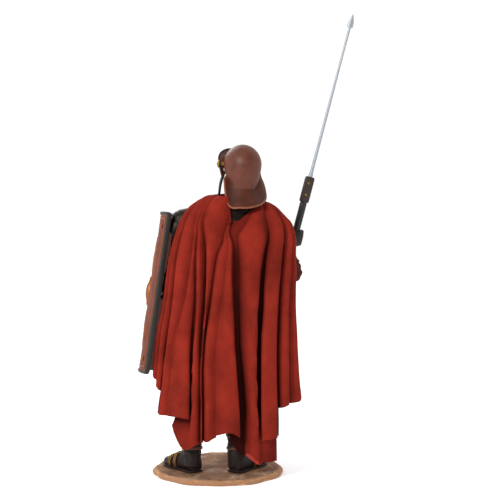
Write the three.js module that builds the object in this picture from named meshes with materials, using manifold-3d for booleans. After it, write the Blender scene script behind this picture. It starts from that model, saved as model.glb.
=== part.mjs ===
// A painted figurine of a Roman foot soldier who stands at rest in a long red cloak, with a shield on
// the left arm and a javelin upright in the right hand, on a low slab of earth.
// Millimetres, +Z up. The figure looks along -Y and its left side is +X. The origin is the middle of
// the slab's underside.
import * as THREE from "three";
import { mergeVertices } from "three/addons/utils/BufferGeometryUtils.js";
import Module from "manifold-3d";

const wasm = await Module();
wasm.setup();

const FIGURE_HEIGHT = 294; // from the slab's top to the crown of the helmet
const GAP = 0.3; // clearance between two pieces that touch

const BASE_WIDTH = 122;
const BASE_DEPTH = 126;
const BASE_THICK = 5;
const BASE_BEVEL = 2.5; // how far the slab's top stands back from its edge

const CLOTH_THICK = 1.2;

const HELMET_WALL = 1.6;
const PLATE_THICK = 1.3; // cheek guards, brow plate and neck guard
const HINGE_RADIUS = 2.4;

const BROOCH_RADIUS = 6;
const BROOCH_THICK = 2.6;

const SHIELD_HEIGHT = 147;
const SHIELD_CHORD = 85;
const SHIELD_BOW_RADIUS = 65; // of the face, seen from above
const BOARD_THICK = 3;
const RIM_WIDTH = 3.6; // across the face
const RIM_THICK = 5.5; // through the board
const SHIELD_CORNER = 4;
const RELIEF_HEIGHT = 1.2;
const BOSS_RADIUS = 10.5;
const BOSS_FLANGE = 4;
const BOSS_HEIGHT = 5;
const GRIP_RADIUS = 2.2;
const GRIP_LENGTH = 35;

const SHAFT_RADIUS = 3.3;
const BLOCK_WIDTH = 9;
const BLOCK_DEPTH = 8;
const BLOCK_LENGTH = 24;
const SHANK_RADIUS = 1.15;
const POINT_RADIUS = 2;
const POINT_LENGTH = 17;
const JAVELIN_LENGTH = 425;
const SHAFT_ABOVE_HAND = 34; // from the middle of the fist to the shaft's upper end
const RIVET_RADIUS = 1.1;
const RIVET_STAND = 0.8; // how far a rivet head stands out of the block

// The carving's points are written for a figure 294 high, from the slab's top, and follow its height.
const SHARE = FIGURE_HEIGHT / 294;
const HALF_TURN = Math.PI;
const TURN = 2 * Math.PI;

const lerp = THREE.MathUtils.lerp;
const clamp = THREE.MathUtils.clamp;
const rad = THREE.MathUtils.degToRad;
const vec = (x, y, z) => new THREE.Vector3(x, y, z);
const carved = (x, y, z) => vec(x * SHARE, y * SHARE, z * SHARE + BASE_THICK + GAP);

// Value t along a row of numbers, or of rows of numbers, on a smooth curve through them.
function smooth(rows, t) {
  const last = rows.length - 1;
  const i = clamp(Math.floor(t), 0, last - 1);
  const f = clamp(t - i, 0, 1);
  const row = (j) => rows[clamp(j, 0, last)];
  const blend = (a, b, c, d) =>
    b + 0.5 * f * (c - a + f * (2 * a - 5 * b + 4 * c - d + f * (3 * (b - c) + d - a)));
  const [a, b, c, d] = [row(i - 1), row(i), row(i + 1), row(i + 2)];
  return Array.isArray(b) ? b.map((_, k) => blend(a[k], b[k], c[k], d[k])) : blend(a, b, c, d);
}

// A mesh geometry from points and triangles, turned round if its faces point inwards.
function shape(points, triangles) {
  const [a, b, c] = [vec(), vec(), vec()];
  let volume = 0;
  for (let i = 0; i < triangles.length; i += 3) {
    a.copy(points[triangles[i]]);
    b.copy(points[triangles[i + 1]]);
    c.copy(points[triangles[i + 2]]);
    volume += a.dot(b.cross(c));
  }
  const index = volume < 0 ? [...triangles].reverse() : triangles;
  const geometry = new THREE.BufferGeometry().setFromPoints(points);
  geometry.setIndex(index);
  return geometry;
}

// A closed skin over rings of points, each end closed by a fan, or the last ring joined to the first.
function skin(rings, looped = false) {
  const sides = rings[0].length;
  const points = rings.flat();
  const triangles = [];
  const bands = looped ? rings.length : rings.length - 1;
  for (let r = 0; r < bands; r++)
    for (let i = 0; i < sides; i++) {
      const next = (i + 1) % sides;
      const up = ((r + 1) % rings.length) * sides;
      const [a, b, c, d] = [r * sides + i, r * sides + next, up + i, up + next];
      triangles.push(a, b, c, b, d, c);
    }
  if (!looped)
    for (const [r, flip] of [[0, true], [rings.length - 1, false]]) {
      const middle = rings[r].reduce((sum, p) => sum.add(p), vec(0, 0, 0)).divideScalar(sides);
      points.push(middle);
      for (let i = 0; i < sides; i++) {
        const pair = [r * sides + i, r * sides + ((i + 1) % sides)];
        triangles.push(...(flip ? pair.reverse() : pair), points.length - 1);
      }
    }
  return shape(points, triangles);
}

// Points round an ellipse, or a squarer form of it, across the directions u and v.
function ring(centre, u, v, ru, rv, sides, square = 2) {
  const round = (x) => Math.sign(x) * Math.abs(x) ** (2 / square);
  return Array.from({ length: sides }, (_, i) => {
    const angle = (TURN * i) / sides;
    return centre.clone()
      .addScaledVector(u, ru * round(Math.cos(angle)))
      .addScaledVector(v, rv * round(Math.sin(angle)));
  });
}

// A limb along a smooth path. Each row is x, y, z and the half widths along `across` and over it.
function limb(rows, { across = vec(1, 0, 0), sides = 8, steps = 3, square = 2 } = {}) {
  const rings = [];
  const count = (rows.length - 1) * steps;
  const middle = (row) => carved(row[0], row[1], row[2]);
  for (let i = 0; i <= count; i++) {
    const t = i / steps;
    const row = smooth(rows, t);
    const ahead = middle(smooth(rows, Math.min(t + 0.05, rows.length - 1)));
    const along = ahead.sub(middle(smooth(rows, Math.max(t - 0.05, 0)))).normalize();
    const v = along.clone().cross(across).normalize();
    const u = v.clone().cross(along);
    rings.push(ring(middle(row), u, v, row[3] * SHARE, row[4] * SHARE, sides, square));
  }
  return skin(rings);
}

// A rounded lump: a sphere stretched to three half widths.
function lump(centre, half, [across, up] = [10, 7]) {
  const ball = new THREE.SphereGeometry(1, across, up);
  ball.scale(half[0] * SHARE, half[1] * SHARE, half[2] * SHARE);
  return ball.translate(centre.x, centre.y, centre.z);
}

// A sheet of even thickness whose outer face is point(u, v), both from 0 to 1, at the given stops.
function sheet(point, us, vs, thick) {
  const [columns, rows] = [us.length, vs.length];
  const outer = vs.map((v) => us.map((u) => point(u, v)));
  const at = (r, c) => outer[clamp(r, 0, rows - 1)][clamp(c, 0, columns - 1)];
  const inner = outer.map((line, r) => line.map((p, c) => {
    const along = at(r, c + 1).clone().sub(at(r, c - 1));
    const down = at(r + 1, c).clone().sub(at(r - 1, c));
    return p.clone().addScaledVector(along.cross(down).normalize(), thick);
  }));
  const points = [...outer.flat(), ...inner.flat()];
  const triangles = [];
  const quad = (a, b, c, d) => triangles.push(a, b, c, b, d, c);
  const far = rows * columns;
  for (let r = 0; r + 1 < rows; r++)
    for (let c = 0; c + 1 < columns; c++) {
      const a = r * columns + c;
      quad(a, a + 1, a + columns, a + columns + 1);
      quad(far + a + 1, far + a, far + a + columns + 1, far + a + columns);
    }
  for (let c = 0; c + 1 < columns; c++) {
    quad(far + c, far + c + 1, c, c + 1);
    const a = (rows - 1) * columns + c;
    quad(a, a + 1, far + a, far + a + 1);
  }
  for (let r = 0; r + 1 < rows; r++) {
    const a = r * columns;
    const b = a + columns - 1;
    quad(far + a, a, far + a + columns, a + columns);
    quad(b, far + b, b + columns, far + b + columns);
  }
  return shape(points, triangles);
}

const stops = (count) => Array.from({ length: count + 1 }, (_, i) => i / count);

// Solids for joining and cutting, and back to a geometry.
function solid(geometry) {
  const bare = geometry.clone();
  bare.deleteAttribute("normal");
  bare.deleteAttribute("uv");
  const merged = mergeVertices(bare, 1e-4);
  const vertProperties = merged.attributes.position.array;
  const triVerts = new Uint32Array(merged.index.array);
  return new wasm.Manifold(new wasm.Mesh({ numProp: 3, vertProperties, triVerts }));
}

const join = (geometries) => geometries.map(solid).reduce((whole, next) => whole.add(next));

function geometryOf(manifold) {
  const mesh = manifold.getMesh();
  const geometry = new THREE.BufferGeometry();
  geometry.setAttribute("position", new THREE.BufferAttribute(mesh.vertProperties, 3));
  geometry.setIndex(new THREE.BufferAttribute(mesh.triVerts, 1));
  geometry.computeVertexNormals();
  return geometry;
}

// The slab of earth: an uneven round edge, and a top that is flat under the feet and dips elsewhere.
const BASE_SIDES = 28;
const BASE_DIP = 0.7;
function baseSlab() {
  const ripple = (angle) => 1 + 0.012 * Math.sin(3 * angle + 0.6) + 0.014 * Math.sin(7 * angle + 2)
    + 0.01 * Math.sin(12 * angle + 1);
  const loop = (inset, height, dip) => Array.from({ length: BASE_SIDES }, (_, i) => {
    const angle = (TURN * i) / BASE_SIDES;
    const reach = ripple(angle) / 1.02;
    const low = dip * (0.5 + 0.5 * Math.sin(5 * angle + inset));
    const x = (BASE_WIDTH / 2 - inset) * reach * Math.cos(angle);
    const y = (BASE_DEPTH / 2 - inset) * reach * Math.sin(angle);
    return vec(x, y, height - low);
  });
  const ledge = BASE_WIDTH / 12;
  return skin([
    loop(1, 0, 0),
    loop(0, BASE_THICK * 0.45, 0.3),
    loop(BASE_BEVEL, BASE_THICK * 0.95, BASE_DIP),
    loop(BASE_BEVEL + ledge, BASE_THICK, BASE_DIP),
    loop(BASE_BEVEL + 2 * ledge, BASE_THICK, 0),
  ]);
}

// Legs and boots. Each leg gives its hip, knee and ankle, and its heel and toe on the slab.
const LEGS = [
  { hip: [-16, 10, 150], knee: [-18, 13, 84], ankle: [-16.5, 21, 15], heel: [-14, 28], toe: [-40, -12] },
  { hip: [10, 10, 150], knee: [20, 4, 84], ankle: [23, 21, 15], heel: [18.5, 28], toe: [50, -9] },
];
const BOOT_TOP = 62;
// Along a foot from heel to toe: share of its length, half width, height.
const FOOT = [
  [0, 4.5, 8], [0.06, 7, 15], [0.25, 7.6, 18], [0.45, 7.8, 15], [0.62, 8.6, 11.5],
  [0.8, 8.6, 9.5], [0.93, 7, 8.4], [1, 3.6, 5],
];
const SOLE_THICK = 1.8;

function foot({ heel, toe }) {
  const along = vec(toe[0] - heel[0], toe[1] - heel[1], 0);
  const side = vec(-along.y, along.x, 0).normalize();
  const up = vec(0, 0, 1);
  const spot = (share, z) => carved(heel[0] + along.x * share, heel[1] + along.y * share, z);
  const upper = skin(FOOT.map(([share, half, high]) =>
    ring(spot(share, high / 2), side, up, half * SHARE, (high / 2) * SHARE, 8, 2.7)));
  const edge = (z) => {
    const sides = FOOT.map(([share, half]) => [
      spot(share, z).addScaledVector(side, (half + 0.7) * SHARE),
      spot(share, z).addScaledVector(side, (-half - 0.7) * SHARE),
    ]);
    return [...sides.map((pair) => pair[0]), ...sides.map((pair) => pair[1]).reverse()];
  };
  return [upper, skin([edge(0), edge(SOLE_THICK)])];
}

function leg({ hip, knee, ankle }) {
  const calf = smooth([hip, knee, ankle], 1.35);
  const flesh = limb([
    [...hip, 15, 16], [...smooth([hip, knee, ankle], 0.5), 12.5, 13.5], [...knee, 8.6, 9],
    [...calf, 9, 9.6],
  ], { sides: 8, steps: 2 });
  const lower = (z) => {
    const t = (BOOT_TOP - z) / (BOOT_TOP - ankle[2]);
    return [lerp(calf[0], ankle[0], t), lerp(calf[1], ankle[1], t), z];
  };
  const shaft = limb([
    [...lower(BOOT_TOP), 10.8, 11.4], [...lower(48), 10.4, 11.4], [...lower(28), 8.3, 9],
    [...lower(13), 7.8, 8.8], [...lower(4), 7.4, 8],
  ], { steps: 1 });
  const cuff = limb([
    [...lower(BOOT_TOP + 2), 11, 11.6], [...lower(BOOT_TOP), 12.2, 12.8],
    [...lower(BOOT_TOP - 4), 11.9, 12.6], [...lower(BOOT_TOP - 6), 10.6, 11.4],
  ], { steps: 1 });
  return [flesh, shaft, cuff];
}

// The trunk by height: z, middle x, half width, half depth.
const TRUNK_Y = 8.5;
const TRUNK = [
  [150, -3, 28, 20], [166, -5.5, 25.5, 17.5], [178, -7, 24.5, 16.5], [192, -9.5, 27, 17.6],
  [207, -11.5, 30, 17.6], [220, -12.5, 30, 15.6], [230, -13.5, 25, 12.8], [238, -15, 14, 10.4],
];
const trunkAt = (z) => {
  const heights = TRUNK.map((row) => row[0]);
  const above = clamp(heights.findIndex((h) => h > z), 1, TRUNK.length - 1);
  const t = above - 1 + (z - heights[above - 1]) / (heights[above] - heights[above - 1]);
  return smooth(TRUNK, t);
};
function trunkRing(z, swell, sides = 18) {
  const [, x, half, deep] = trunkAt(z);
  return Array.from({ length: sides }, (_, i) => {
    const angle = (TURN * i) / sides;
    return carved(x + (half + swell) * Math.cos(angle), TRUNK_Y + (deep + swell) * Math.sin(angle), z);
  });
}

// Five girdle hoops, each lapped over the one below, under the breastplate.
const HOOPS = 5;
const HOOP_TOP = 208;
const HOOP_STEP = 6.6;
const HOOP_LAP = 1;
function armour() {
  const rings = [trunkRing(238, 0), trunkRing(230, 0.6), trunkRing(220, 0.8), trunkRing(HOOP_TOP, 1.6)];
  for (let i = 0; i < HOOPS; i++) {
    const top = HOOP_TOP - i * HOOP_STEP;
    rings.push(trunkRing(top - 0.2, 0), trunkRing(top - HOOP_STEP + 0.2, HOOP_LAP));
  }
  rings.push(trunkRing(HOOP_TOP - HOOPS * HOOP_STEP, -1));
  return skin(rings);
}

// The tunic's skirt: pleats that deepen towards the hem.
const HEM_Z = 100;
const WAIST_Z = 176;
const PLEATS = 12;
function skirt() {
  const sides = PLEATS * 4;
  const rows = [
    [WAIST_Z, 0, -6.5, 23.5, 16], [156, 0.3, -4, 28, 20.5], [128, 1, -2, 31, 23],
    [HEM_Z, 1.9, -0.5, 34, 25],
  ];
  return skin(rows.map(([z, pleat, x, half, deep]) => Array.from({ length: sides }, (_, i) => {
    const angle = (TURN * i) / sides;
    const out = pleat * Math.cos(PLEATS * angle + 0.7 * Math.sin(2 * angle));
    return carved(x + (half + out) * Math.cos(angle), TRUNK_Y + (deep + out) * Math.sin(angle), z);
  })));
}

// The belt, and the apron of straps that hangs from its middle.
const BELT_TOP = 177;
const BELT_BOTTOM = 169;
const STRAPS = 4;
const STRAP_WIDTH = 4.6;
const STRAP_END = 124;
function belt() {
  const band = skin([
    trunkRing(BELT_BOTTOM - 0.6, 0.5), trunkRing(BELT_BOTTOM, 2.2), trunkRing(BELT_TOP, 2.2),
    trunkRing(BELT_TOP + 0.6, 0.5),
  ]);
  const straps = Array.from({ length: STRAPS }, (_, i) => {
    const x = -7 + (i - (STRAPS - 1) / 2) * (STRAP_WIDTH + 1);
    const spread = 1 + (x + 7) * 0.05;
    return limb([
      [x, TRUNK_Y - 17.6, BELT_BOTTOM + 3, STRAP_WIDTH / 2, 1.2],
      [x + spread, TRUNK_Y - 21.8, 150, STRAP_WIDTH / 2, 1.2],
      [x + spread * 2, TRUNK_Y - 25.2, STRAP_END, STRAP_WIDTH / 2, 1.2],
    ], { sides: 4, steps: 1, square: 2 });
  });
  return [band, ...straps];
}

// Shoulder guards: lapped plates on a path from beside the neck out over the shoulder.
const SHOULDERS = [
  { path: [[-24, 7, 226, 9, 7], [-36, 7, 222.5, 11, 9], [-50, 6, 216, 12, 10.5], [-57, 5, 208, 10.5, 8]] },
  { path: [[0, 7, 227, 9, 8], [14, 3, 225.5, 10.5, 10], [30, -1.5, 222, 11, 13.2], [41, -2, 213, 10, 9]] },
];
const GUARD_PLATES = 4;
function shoulderGuard({ path }) {
  const rings = [];
  for (let i = 0; i < GUARD_PLATES; i++)
    for (const [edge, swell] of [[0.02, -0.2], [0.98, 0.9]]) {
      const t = ((i + edge) * (path.length - 1)) / GUARD_PLATES;
      const [x, y, z, deep, high] = smooth(path, t);
      const slope = smooth(path, t + 0.1)[2] - smooth(path, t - 0.1)[2];
      const run = smooth(path, t + 0.1)[0] - smooth(path, t - 0.1)[0];
      const up = vec(-slope, 0, run).normalize();
      const [along, over] = [(deep + swell) * SHARE, (high + swell) * SHARE];
      rings.push(ring(carved(x, y, z), vec(0, 1, 0), up, along, over, 10));
    }
  return skin(rings);
}

// The javelin stands with its butt on the slab and leans out through the right fist.
const JAVELIN_FOOT = [-16.3, -35];
const JAVELIN_LEAN = rad(-14.56);
const FIST_HEIGHT = 206;
const FIST = [JAVELIN_FOOT[0] + FIST_HEIGHT * Math.tan(JAVELIN_LEAN), JAVELIN_FOOT[1], FIST_HEIGHT];

// Arms: shoulder, elbow and wrist, with a sleeve, a bare forearm and a bracer.
const ARMS = [
  { shoulder: [-48, 6, 217], elbow: [-67.5, 2, 178], wrist: [FIST[0] + 1.8, FIST[1] + 5, FIST[2] - 3] },
  { shoulder: [30, 1, 216], elbow: [38.5, 4, 180], wrist: [46, -17.5, 161] },
];
function arm({ shoulder, elbow, wrist }) {
  const between = (a, b, t) => a.map((value, i) => lerp(value, b[i], t));
  const [first, second] = [vec(...elbow).sub(vec(...shoulder)), vec(...wrist).sub(vec(...elbow))];
  const across = first.cross(second).normalize();
  const flesh = limb([
    [...shoulder, 8, 8], [...between(shoulder, elbow, 0.6), 7, 7], [...elbow, 6.3, 6.3],
    [...between(elbow, wrist, 0.35), 6.4, 6.6], [...wrist, 4.8, 5],
  ], { across, steps: 2 });
  const sleeve = limb([
    [...shoulder, 10.5, 10.5], [...between(shoulder, elbow, 0.4), 10, 9.8],
    [...between(shoulder, elbow, 0.66), 9.6, 9.4],
  ], { across, steps: 1 });
  const bracer = limb([
    [...between(elbow, wrist, 0.46), 7.4, 7.6], [...between(elbow, wrist, 0.96), 5.8, 6],
  ], { across, steps: 1 });
  return [flesh, sleeve, bracer];
}

// A fist closed on a bar: four finger rolls along the bar, the back of the hand, and a thumb.
const FIST_LENGTH = 17;
const FIST_RADIUS = 7.6;
function fist(grip, bar, palm) {
  const side = bar.clone().cross(palm).normalize();
  const rings = [];
  const fingers = 4;
  const middle = grip.clone().addScaledVector(palm, 1.6 * SHARE);
  for (let i = 0; i <= fingers * 2; i++) {
    const t = i / (fingers * 2);
    const roll = i % 2 ? 1 : 0.86;
    const ends = 1 - 0.25 * Math.abs(2 * t - 1) ** 3;
    const centre = middle.clone().addScaledVector(bar, (t - 0.5) * FIST_LENGTH * SHARE);
    rings.push(ring(centre, palm, side, FIST_RADIUS * 1.1 * roll * ends * SHARE,
      FIST_RADIUS * roll * ends * SHARE, 8, 2.6));
  }
  const thumb = lump(grip.clone().addScaledVector(bar, FIST_LENGTH * 0.42 * SHARE)
    .addScaledVector(palm, -2.6 * SHARE).addScaledVector(side, 2.4 * SHARE), [4, 4, 3.4], [6, 5]);
  return [skin(rings), thumb];
}

// Neck, scarf and head. The head is carved about its own middle with the face to -Y, then turned.
const HEAD_TURN = rad(28);
const HEAD = [-22, 5, 272];
const toHead = new THREE.Matrix4().makeTranslation(carved(...HEAD))
  .multiply(new THREE.Matrix4().makeRotationZ(HEAD_TURN))
  .multiply(new THREE.Matrix4().makeScale(SHARE, SHARE, SHARE));
const turned = (geometry) => geometry.applyMatrix4(toHead);

function neck() {
  const throat = limb([[-15, 8.5, 228, 11, 11], [-18, 7.5, 246, 8.6, 9], [-21, 6.5, 258, 9, 9.4]],
    { sides: 8, steps: 1 });
  const scarf = limb([
    [-15.6, 8.2, 229, 12.4, 11.4], [-16.4, 8, 233, 13.4, 11.8], [-17, 7.8, 238, 12.4, 11],
    [-17.4, 7.6, 242, 8.8, 9],
  ], { sides: 12, steps: 1 });
  return [throat, scarf];
}

// The skull from the chin up: height, middle y, half width, half depth. Plain proportions: the eyes
// half way up the head, the nose and mouth at thirds of the lower half.
const SKULL = [
  [-19.5, -8, 4.4, 4.6], [-17, -6.6, 7.2, 8.2], [-11, -4.2, 9.6, 11.4], [-5, -1.6, 11.2, 13.7],
  [2, 0.4, 11.7, 15], [9, 1, 11.9, 15], [14.5, 1.2, 8.9, 11], [17.6, 1.2, 3.6, 4.8],
];
const NOSE = [[3, -14.6, 1.5, 0.9], [-1.5, -16, 1.8, 1.8], [-4.8, -17, 2.5, 2.5], [-6.6, -15.8, 2.2, 1.6]];
function head() {
  const rows = (table, sides) => skin(table.map(([z, y, half, deep]) =>
    ring(vec(0, y, z), vec(1, 0, 0), vec(0, 1, 0), half, deep, sides, 2.15)));
  const features = [rows(SKULL, 12), rows(NOSE, 6)];
  const bump = (x, y, z, half) => {
    const ball = new THREE.SphereGeometry(1, 6, 4).scale(...half);
    return ball.translate(x, y, z);
  };
  features.push(bump(0, -13.4, 4.6, [9.4, 2.4, 1.5]));
  features.push(bump(0, -14.2, -9.4, [3.6, 2, 0.8]), bump(0, -14, -11.2, [3.1, 2, 0.9]));
  features.push(bump(0, -12.4, -17, [3.6, 2.8, 2.6]));
  for (const side of [-1, 1]) features.push(bump(side * 4.7, -13.1, 1.8, [2.3, 1.6, 1.1]));
  return features.map(turned);
}

// The helmet in the head's own frame. The angle runs round from the back of the head.
const BOWL_HALF = 16.4;
const BOWL_DEEP = 19.6;
const BOWL_MIDDLE = 4;
const BOWL_TOP = 22;
const BOWL_BACK = -15;
const BOWL_BROW = 7;
const onHead = (angle, half, deep, z) => vec(half * Math.sin(angle), deep * Math.cos(angle), z);
function bowl() {
  const sides = 18;
  const rimHeight = (angle) => {
    const t = THREE.MathUtils.smoothstep(Math.abs(angle), rad(60), rad(128));
    return lerp(BOWL_BACK, BOWL_BROW, t);
  };
  const wall = (inset) => {
    const [half, deep, top] = [BOWL_HALF - inset, BOWL_DEEP - inset, BOWL_TOP - inset];
    const domes = [14, 38, 64].map(rad);
    const dome = domes.map((d) => Array.from({ length: sides }, (_, i) => {
      const angle = (TURN * i) / sides - HALF_TURN;
      return onHead(angle, half * Math.sin(d), deep * Math.sin(d),
        Math.max(BOWL_MIDDLE + (top - BOWL_MIDDLE) * Math.cos(d), rimHeight(angle)));
    }));
    const skirtRows = [0.15, 1].map((t) => Array.from({ length: sides }, (_, i) => {
      const angle = (TURN * i) / sides - HALF_TURN;
      const z = lerp(BOWL_MIDDLE + 3, rimHeight(angle), t);
      const taper = 1 - 0.06 * t * clamp((BOWL_MIDDLE - z) / (BOWL_MIDDLE - BOWL_BACK), 0, 1);
      return onHead(angle, half * taper, deep * taper, z);
    }));
    return [...dome, ...skirtRows];
  };
  return skin([...wall(0), ...wall(HELMET_WALL / SHARE).reverse()]);
}

function neckGuard() {
  const point = (u, v) => {
    const angle = lerp(rad(-80), rad(80), u);
    const flare = v ** 1.4;
    const low = -31.5 + 10 * Math.sin(angle) ** 2;
    return onHead(angle, lerp(BOWL_HALF - 1.4, 23.5, flare), lerp(BOWL_DEEP - 1.4, 26, flare),
      lerp(BOWL_BACK + 4, low, v));
  };
  return sheet(point, stops(10), stops(3), -PLATE_THICK / SHARE);
}

function browPlate() {
  const point = (u, v) => {
    const turn = lerp(-66, 66, u);
    const angle = HALF_TURN + rad(turn);
    const rise = 4 + 10.5 * Math.cos(rad(turn * 1.25)) ** 1.5;
    const out = lerp(-0.8, 4.6, v);
    return onHead(angle, BOWL_HALF + out, BOWL_DEEP + out, BOWL_BROW - 1 + rise * v);
  };
  return sheet(point, stops(10), stops(1), -PLATE_THICK / SHARE);
}

function helmet() {
  const boss = (side) => {
    const disc = new THREE.CylinderGeometry(HINGE_RADIUS, HINGE_RADIUS, 3.4, 10).rotateX(HALF_TURN / 2);
    const angle = side * rad(112);
    disc.rotateZ(-angle);
    const spot = onHead(angle, BOWL_HALF + 0.9, BOWL_DEEP + 0.9, BOWL_BROW - 0.5);
    return disc.translate(spot.x, spot.y, spot.z);
  };
  return join([bowl(), neckGuard(), browPlate(), boss(-1), boss(1)].map(turned));
}

// A cheek guard hangs inside the helmet's rim and turns out a little at its lower end.
const CHEEK_INSET = 0.8;
const CHEEK_HALF = BOWL_HALF - (HELMET_WALL + GAP) / SHARE - CHEEK_INSET;
const CHEEK_DEEP = BOWL_DEEP - (HELMET_WALL + GAP) / SHARE - CHEEK_INSET;
function cheekGuard(side) {
  const point = (u, v) => {
    const lean = lerp(0, 5, v);
    const width = lerp(19, 26, Math.sin(v * HALF_TURN) ** 0.7);
    const angle = side * rad(lerp(108 - width, 108 + width, u) + lean);
    const out = 1.8 * v ** 3;
    return onHead(angle, CHEEK_HALF + out, CHEEK_DEEP + out, lerp(0, -21, v));
  };
  return turned(sheet(point, stops(4), stops(3), -side * PLATE_THICK / SHARE));
}

// The cloak. A level of 0 is the neckline, 3 the shoulder's edge, and from 4 down to 9 the levels
// are evenly spaced heights. Each row: middle x, half width, half depth behind and in front, and the
// height at the left, right, back and front.
const CLOAK_Y = 8;
const CLOAK_HANG = 194; // the height at level 4
const CLOAK_LEVELS = [
  [-18, 21, 18.5, 17, 249, 243, 227, 233],
  [-16, 29, 22.5, 19, 247, 242, 221, 229],
  [-14.5, 40, 26, 20, 237.5, 235, 214, 221],
  [-15, 50.5, 29, 21, 222, 221, 206, 207],
  [-12.7, 58.4, 30.5, 22, 194, 194, 194, 194],
  [-9.8, 62, 31.5, 23, 155.2, 155.2, 155.2, 155.2],
  [-6.5, 66, 33.5, 24, 116.4, 116.4, 116.4, 116.4],
  [-5.6, 68.5, 35.5, 25, 77.6, 77.6, 77.6, 77.6],
  [-5, 70.5, 37, 26, 38.8, 38.8, 38.8, 38.8],
  [-4.5, 72, 38, 27, 0, 0, 0, 0],
];
// The valleys between its folds, from the right free edge to the left one, each at five stations
// (levels 0, 2, 4, 6 and 8): its turn round from the back in degrees, its depth, and how far its
// bottom slips sideways under a neighbour, in degrees.
const VALLEYS = [
  { turn: [-172, -125, -80, -80, -86], depth: [0, 0, 0, 0, 0], slip: [0, 0, 0, 0, 0] },
  { turn: [-125, -100, -68, -63, -60], depth: [0.5, 1, 2, 2.5, 3], slip: [0, 0, 0, 0, 0] },
  { turn: [-95, -78, -54, -45, -40], depth: [1, 2, 4, 5.5, 6], slip: [0, 0, -2, -3, -4] },
  { turn: [-75, -50, -31, -26.6, -25.2], depth: [1, 3, 6, 8, 9], slip: [0, -1, -3, -5, -13] },
  { turn: [-35, -6, -4.5, -13, -18], depth: [1.5, 2.5, 5.5, 7, 8], slip: [0, 0, 0, 0, 2] },
  { turn: [6, 5, -2, -11, -16], depth: [1.5, 2.5, 6, 8, 8], slip: [0, 1, 2, 5, 10] },
  { turn: [12, 8.5, 4, 7, 5.7], depth: [0.2, 0.2, 0.6, 1.4, 1.8], slip: [0, 0, 0, 0, 0] },
  { turn: [18, 12, 14, 17.6, 16], depth: [1.5, 2.5, 4, 6.5, 7.5], slip: [0, 0, 0, 0, 0] },
  { turn: [60, 45, 25.3, 19, 17.4], depth: [1.5, 2.5, 5, 7.5, 8], slip: [0, 0, -1, -2, -2] },
  { turn: [68, 50, 34.3, 27.7, 24.8], depth: [1, 1.5, 2.5, 5, 8], slip: [0, 0, 1, 3, 12] },
  { turn: [76, 56, 40, 45, 47], depth: [1, 1.5, 2.5, 1.4, 0.4], slip: [0, 0, 0, 0, 0] },
  { turn: [92, 74, 60, 55, 56], depth: [1, 2, 3.5, 4, 4.5], slip: [0, 0, 1, 2, 3] },
  { turn: [120, 84, 67, 65, 66], depth: [0.5, 1, 1.5, 2, 2.5], slip: [0, 0, 0, 0, 0] },
  { turn: [172, 97, 75, 71.5, 73], depth: [0, 0, 0, 0, 0], slip: [0, 0, 0, 0, 0] },
];
// The hem's height across each fold, at its start, middle and end.
const HEMS = [
  [68, 64, 62.5], [62.5, 61.5, 59], [34, 33.5, 32], [9.5, 9.5, 14], [15, 20, 29], [33, 40, 37],
  [35, 32, 32], [32, 32, 32], [32, 27, 30], [48, 53, 53], [53, 53, 53], [74, 78, 82], [83, 86, 88],
];
const BULGE = 0.085; // a fold's swell as a share of its width
const SUNK_FOLD = 4; // the plain yoke under the nape, which has no swell of its own
const LAP = 0.22; // how far into a fold its valley reaches

const valleyAt = (k, key, level) => smooth(VALLEYS[k][key], Math.min(level, 8) / 2);

function cloakPoint(fold, s, level) {
  const levels = smooth(CLOAK_LEVELS, level);
  const [x, half, back, front, left, right, rear, fore] = levels;
  const fall = (t) => (t < LAP ? (1 - t / LAP) ** 2 : 0);
  const [near, far] = [fall(s), fall(1 - s)];
  const from = valleyAt(fold, "turn", level);
  const to = valleyAt(fold + 1, "turn", level);
  const turn = lerp(from, to, s) + near * valleyAt(fold, "slip", level)
    + far * valleyAt(fold + 1, "slip", level);
  const angle = rad(turn);
  const width = rad(to - from) * half;
  const swell = fold === SUNK_FOLD ? -0.75 * valleyAt(SUNK_FOLD, "depth", level)
    : Math.min(BULGE * width, 3) * (4 * s * (1 - s)) ** 0.7;
  const sunk = fold === SUNK_FOLD ? Math.max(near, far) * 0.25 : 1;
  const [nearDepth, farDepth] = [fold, fold + 1].map((k) => valleyAt(k, "depth", level));
  const out = swell - sunk * (near * nearDepth + far * farDepth);
  const [sin, cos] = [Math.sin(angle), Math.cos(angle)];
  const deep = cos > 0 ? back : front;
  const side = sin > 0 ? left : right;
  const height = lerp(cos > 0 ? rear : fore, side, Math.abs(sin) ** 1.2);
  return carved(x + (half + out) * sin, CLOAK_Y + (deep + out) * cos, height);
}

const levelAt = (z) => 4 + (5 * (CLOAK_HANG - z)) / CLOAK_HANG;

function cloak() {
  const across = [0, 0.08, 0.3, 0.7, 0.92];
  const columns = VALLEYS.slice(1).flatMap((_, fold) => across.map((s) => fold + s));
  columns.push(VALLEYS.length - 1);
  const down = [0, 0.13, 0.25, 0.35, 0.45, 0.55, 0.66, 0.77, 0.88, 1];
  const point = (u, v) => {
    const column = columns[Math.round(u * (columns.length - 1))];
    const fold = Math.min(Math.floor(column), HEMS.length - 1);
    const hem = smooth(HEMS[fold], 2 * (column - fold));
    return cloakPoint(fold, column - fold, v * levelAt(hem));
  };
  return sheet(point, stops(columns.length - 1), down, -CLOTH_THICK);
}

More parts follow.
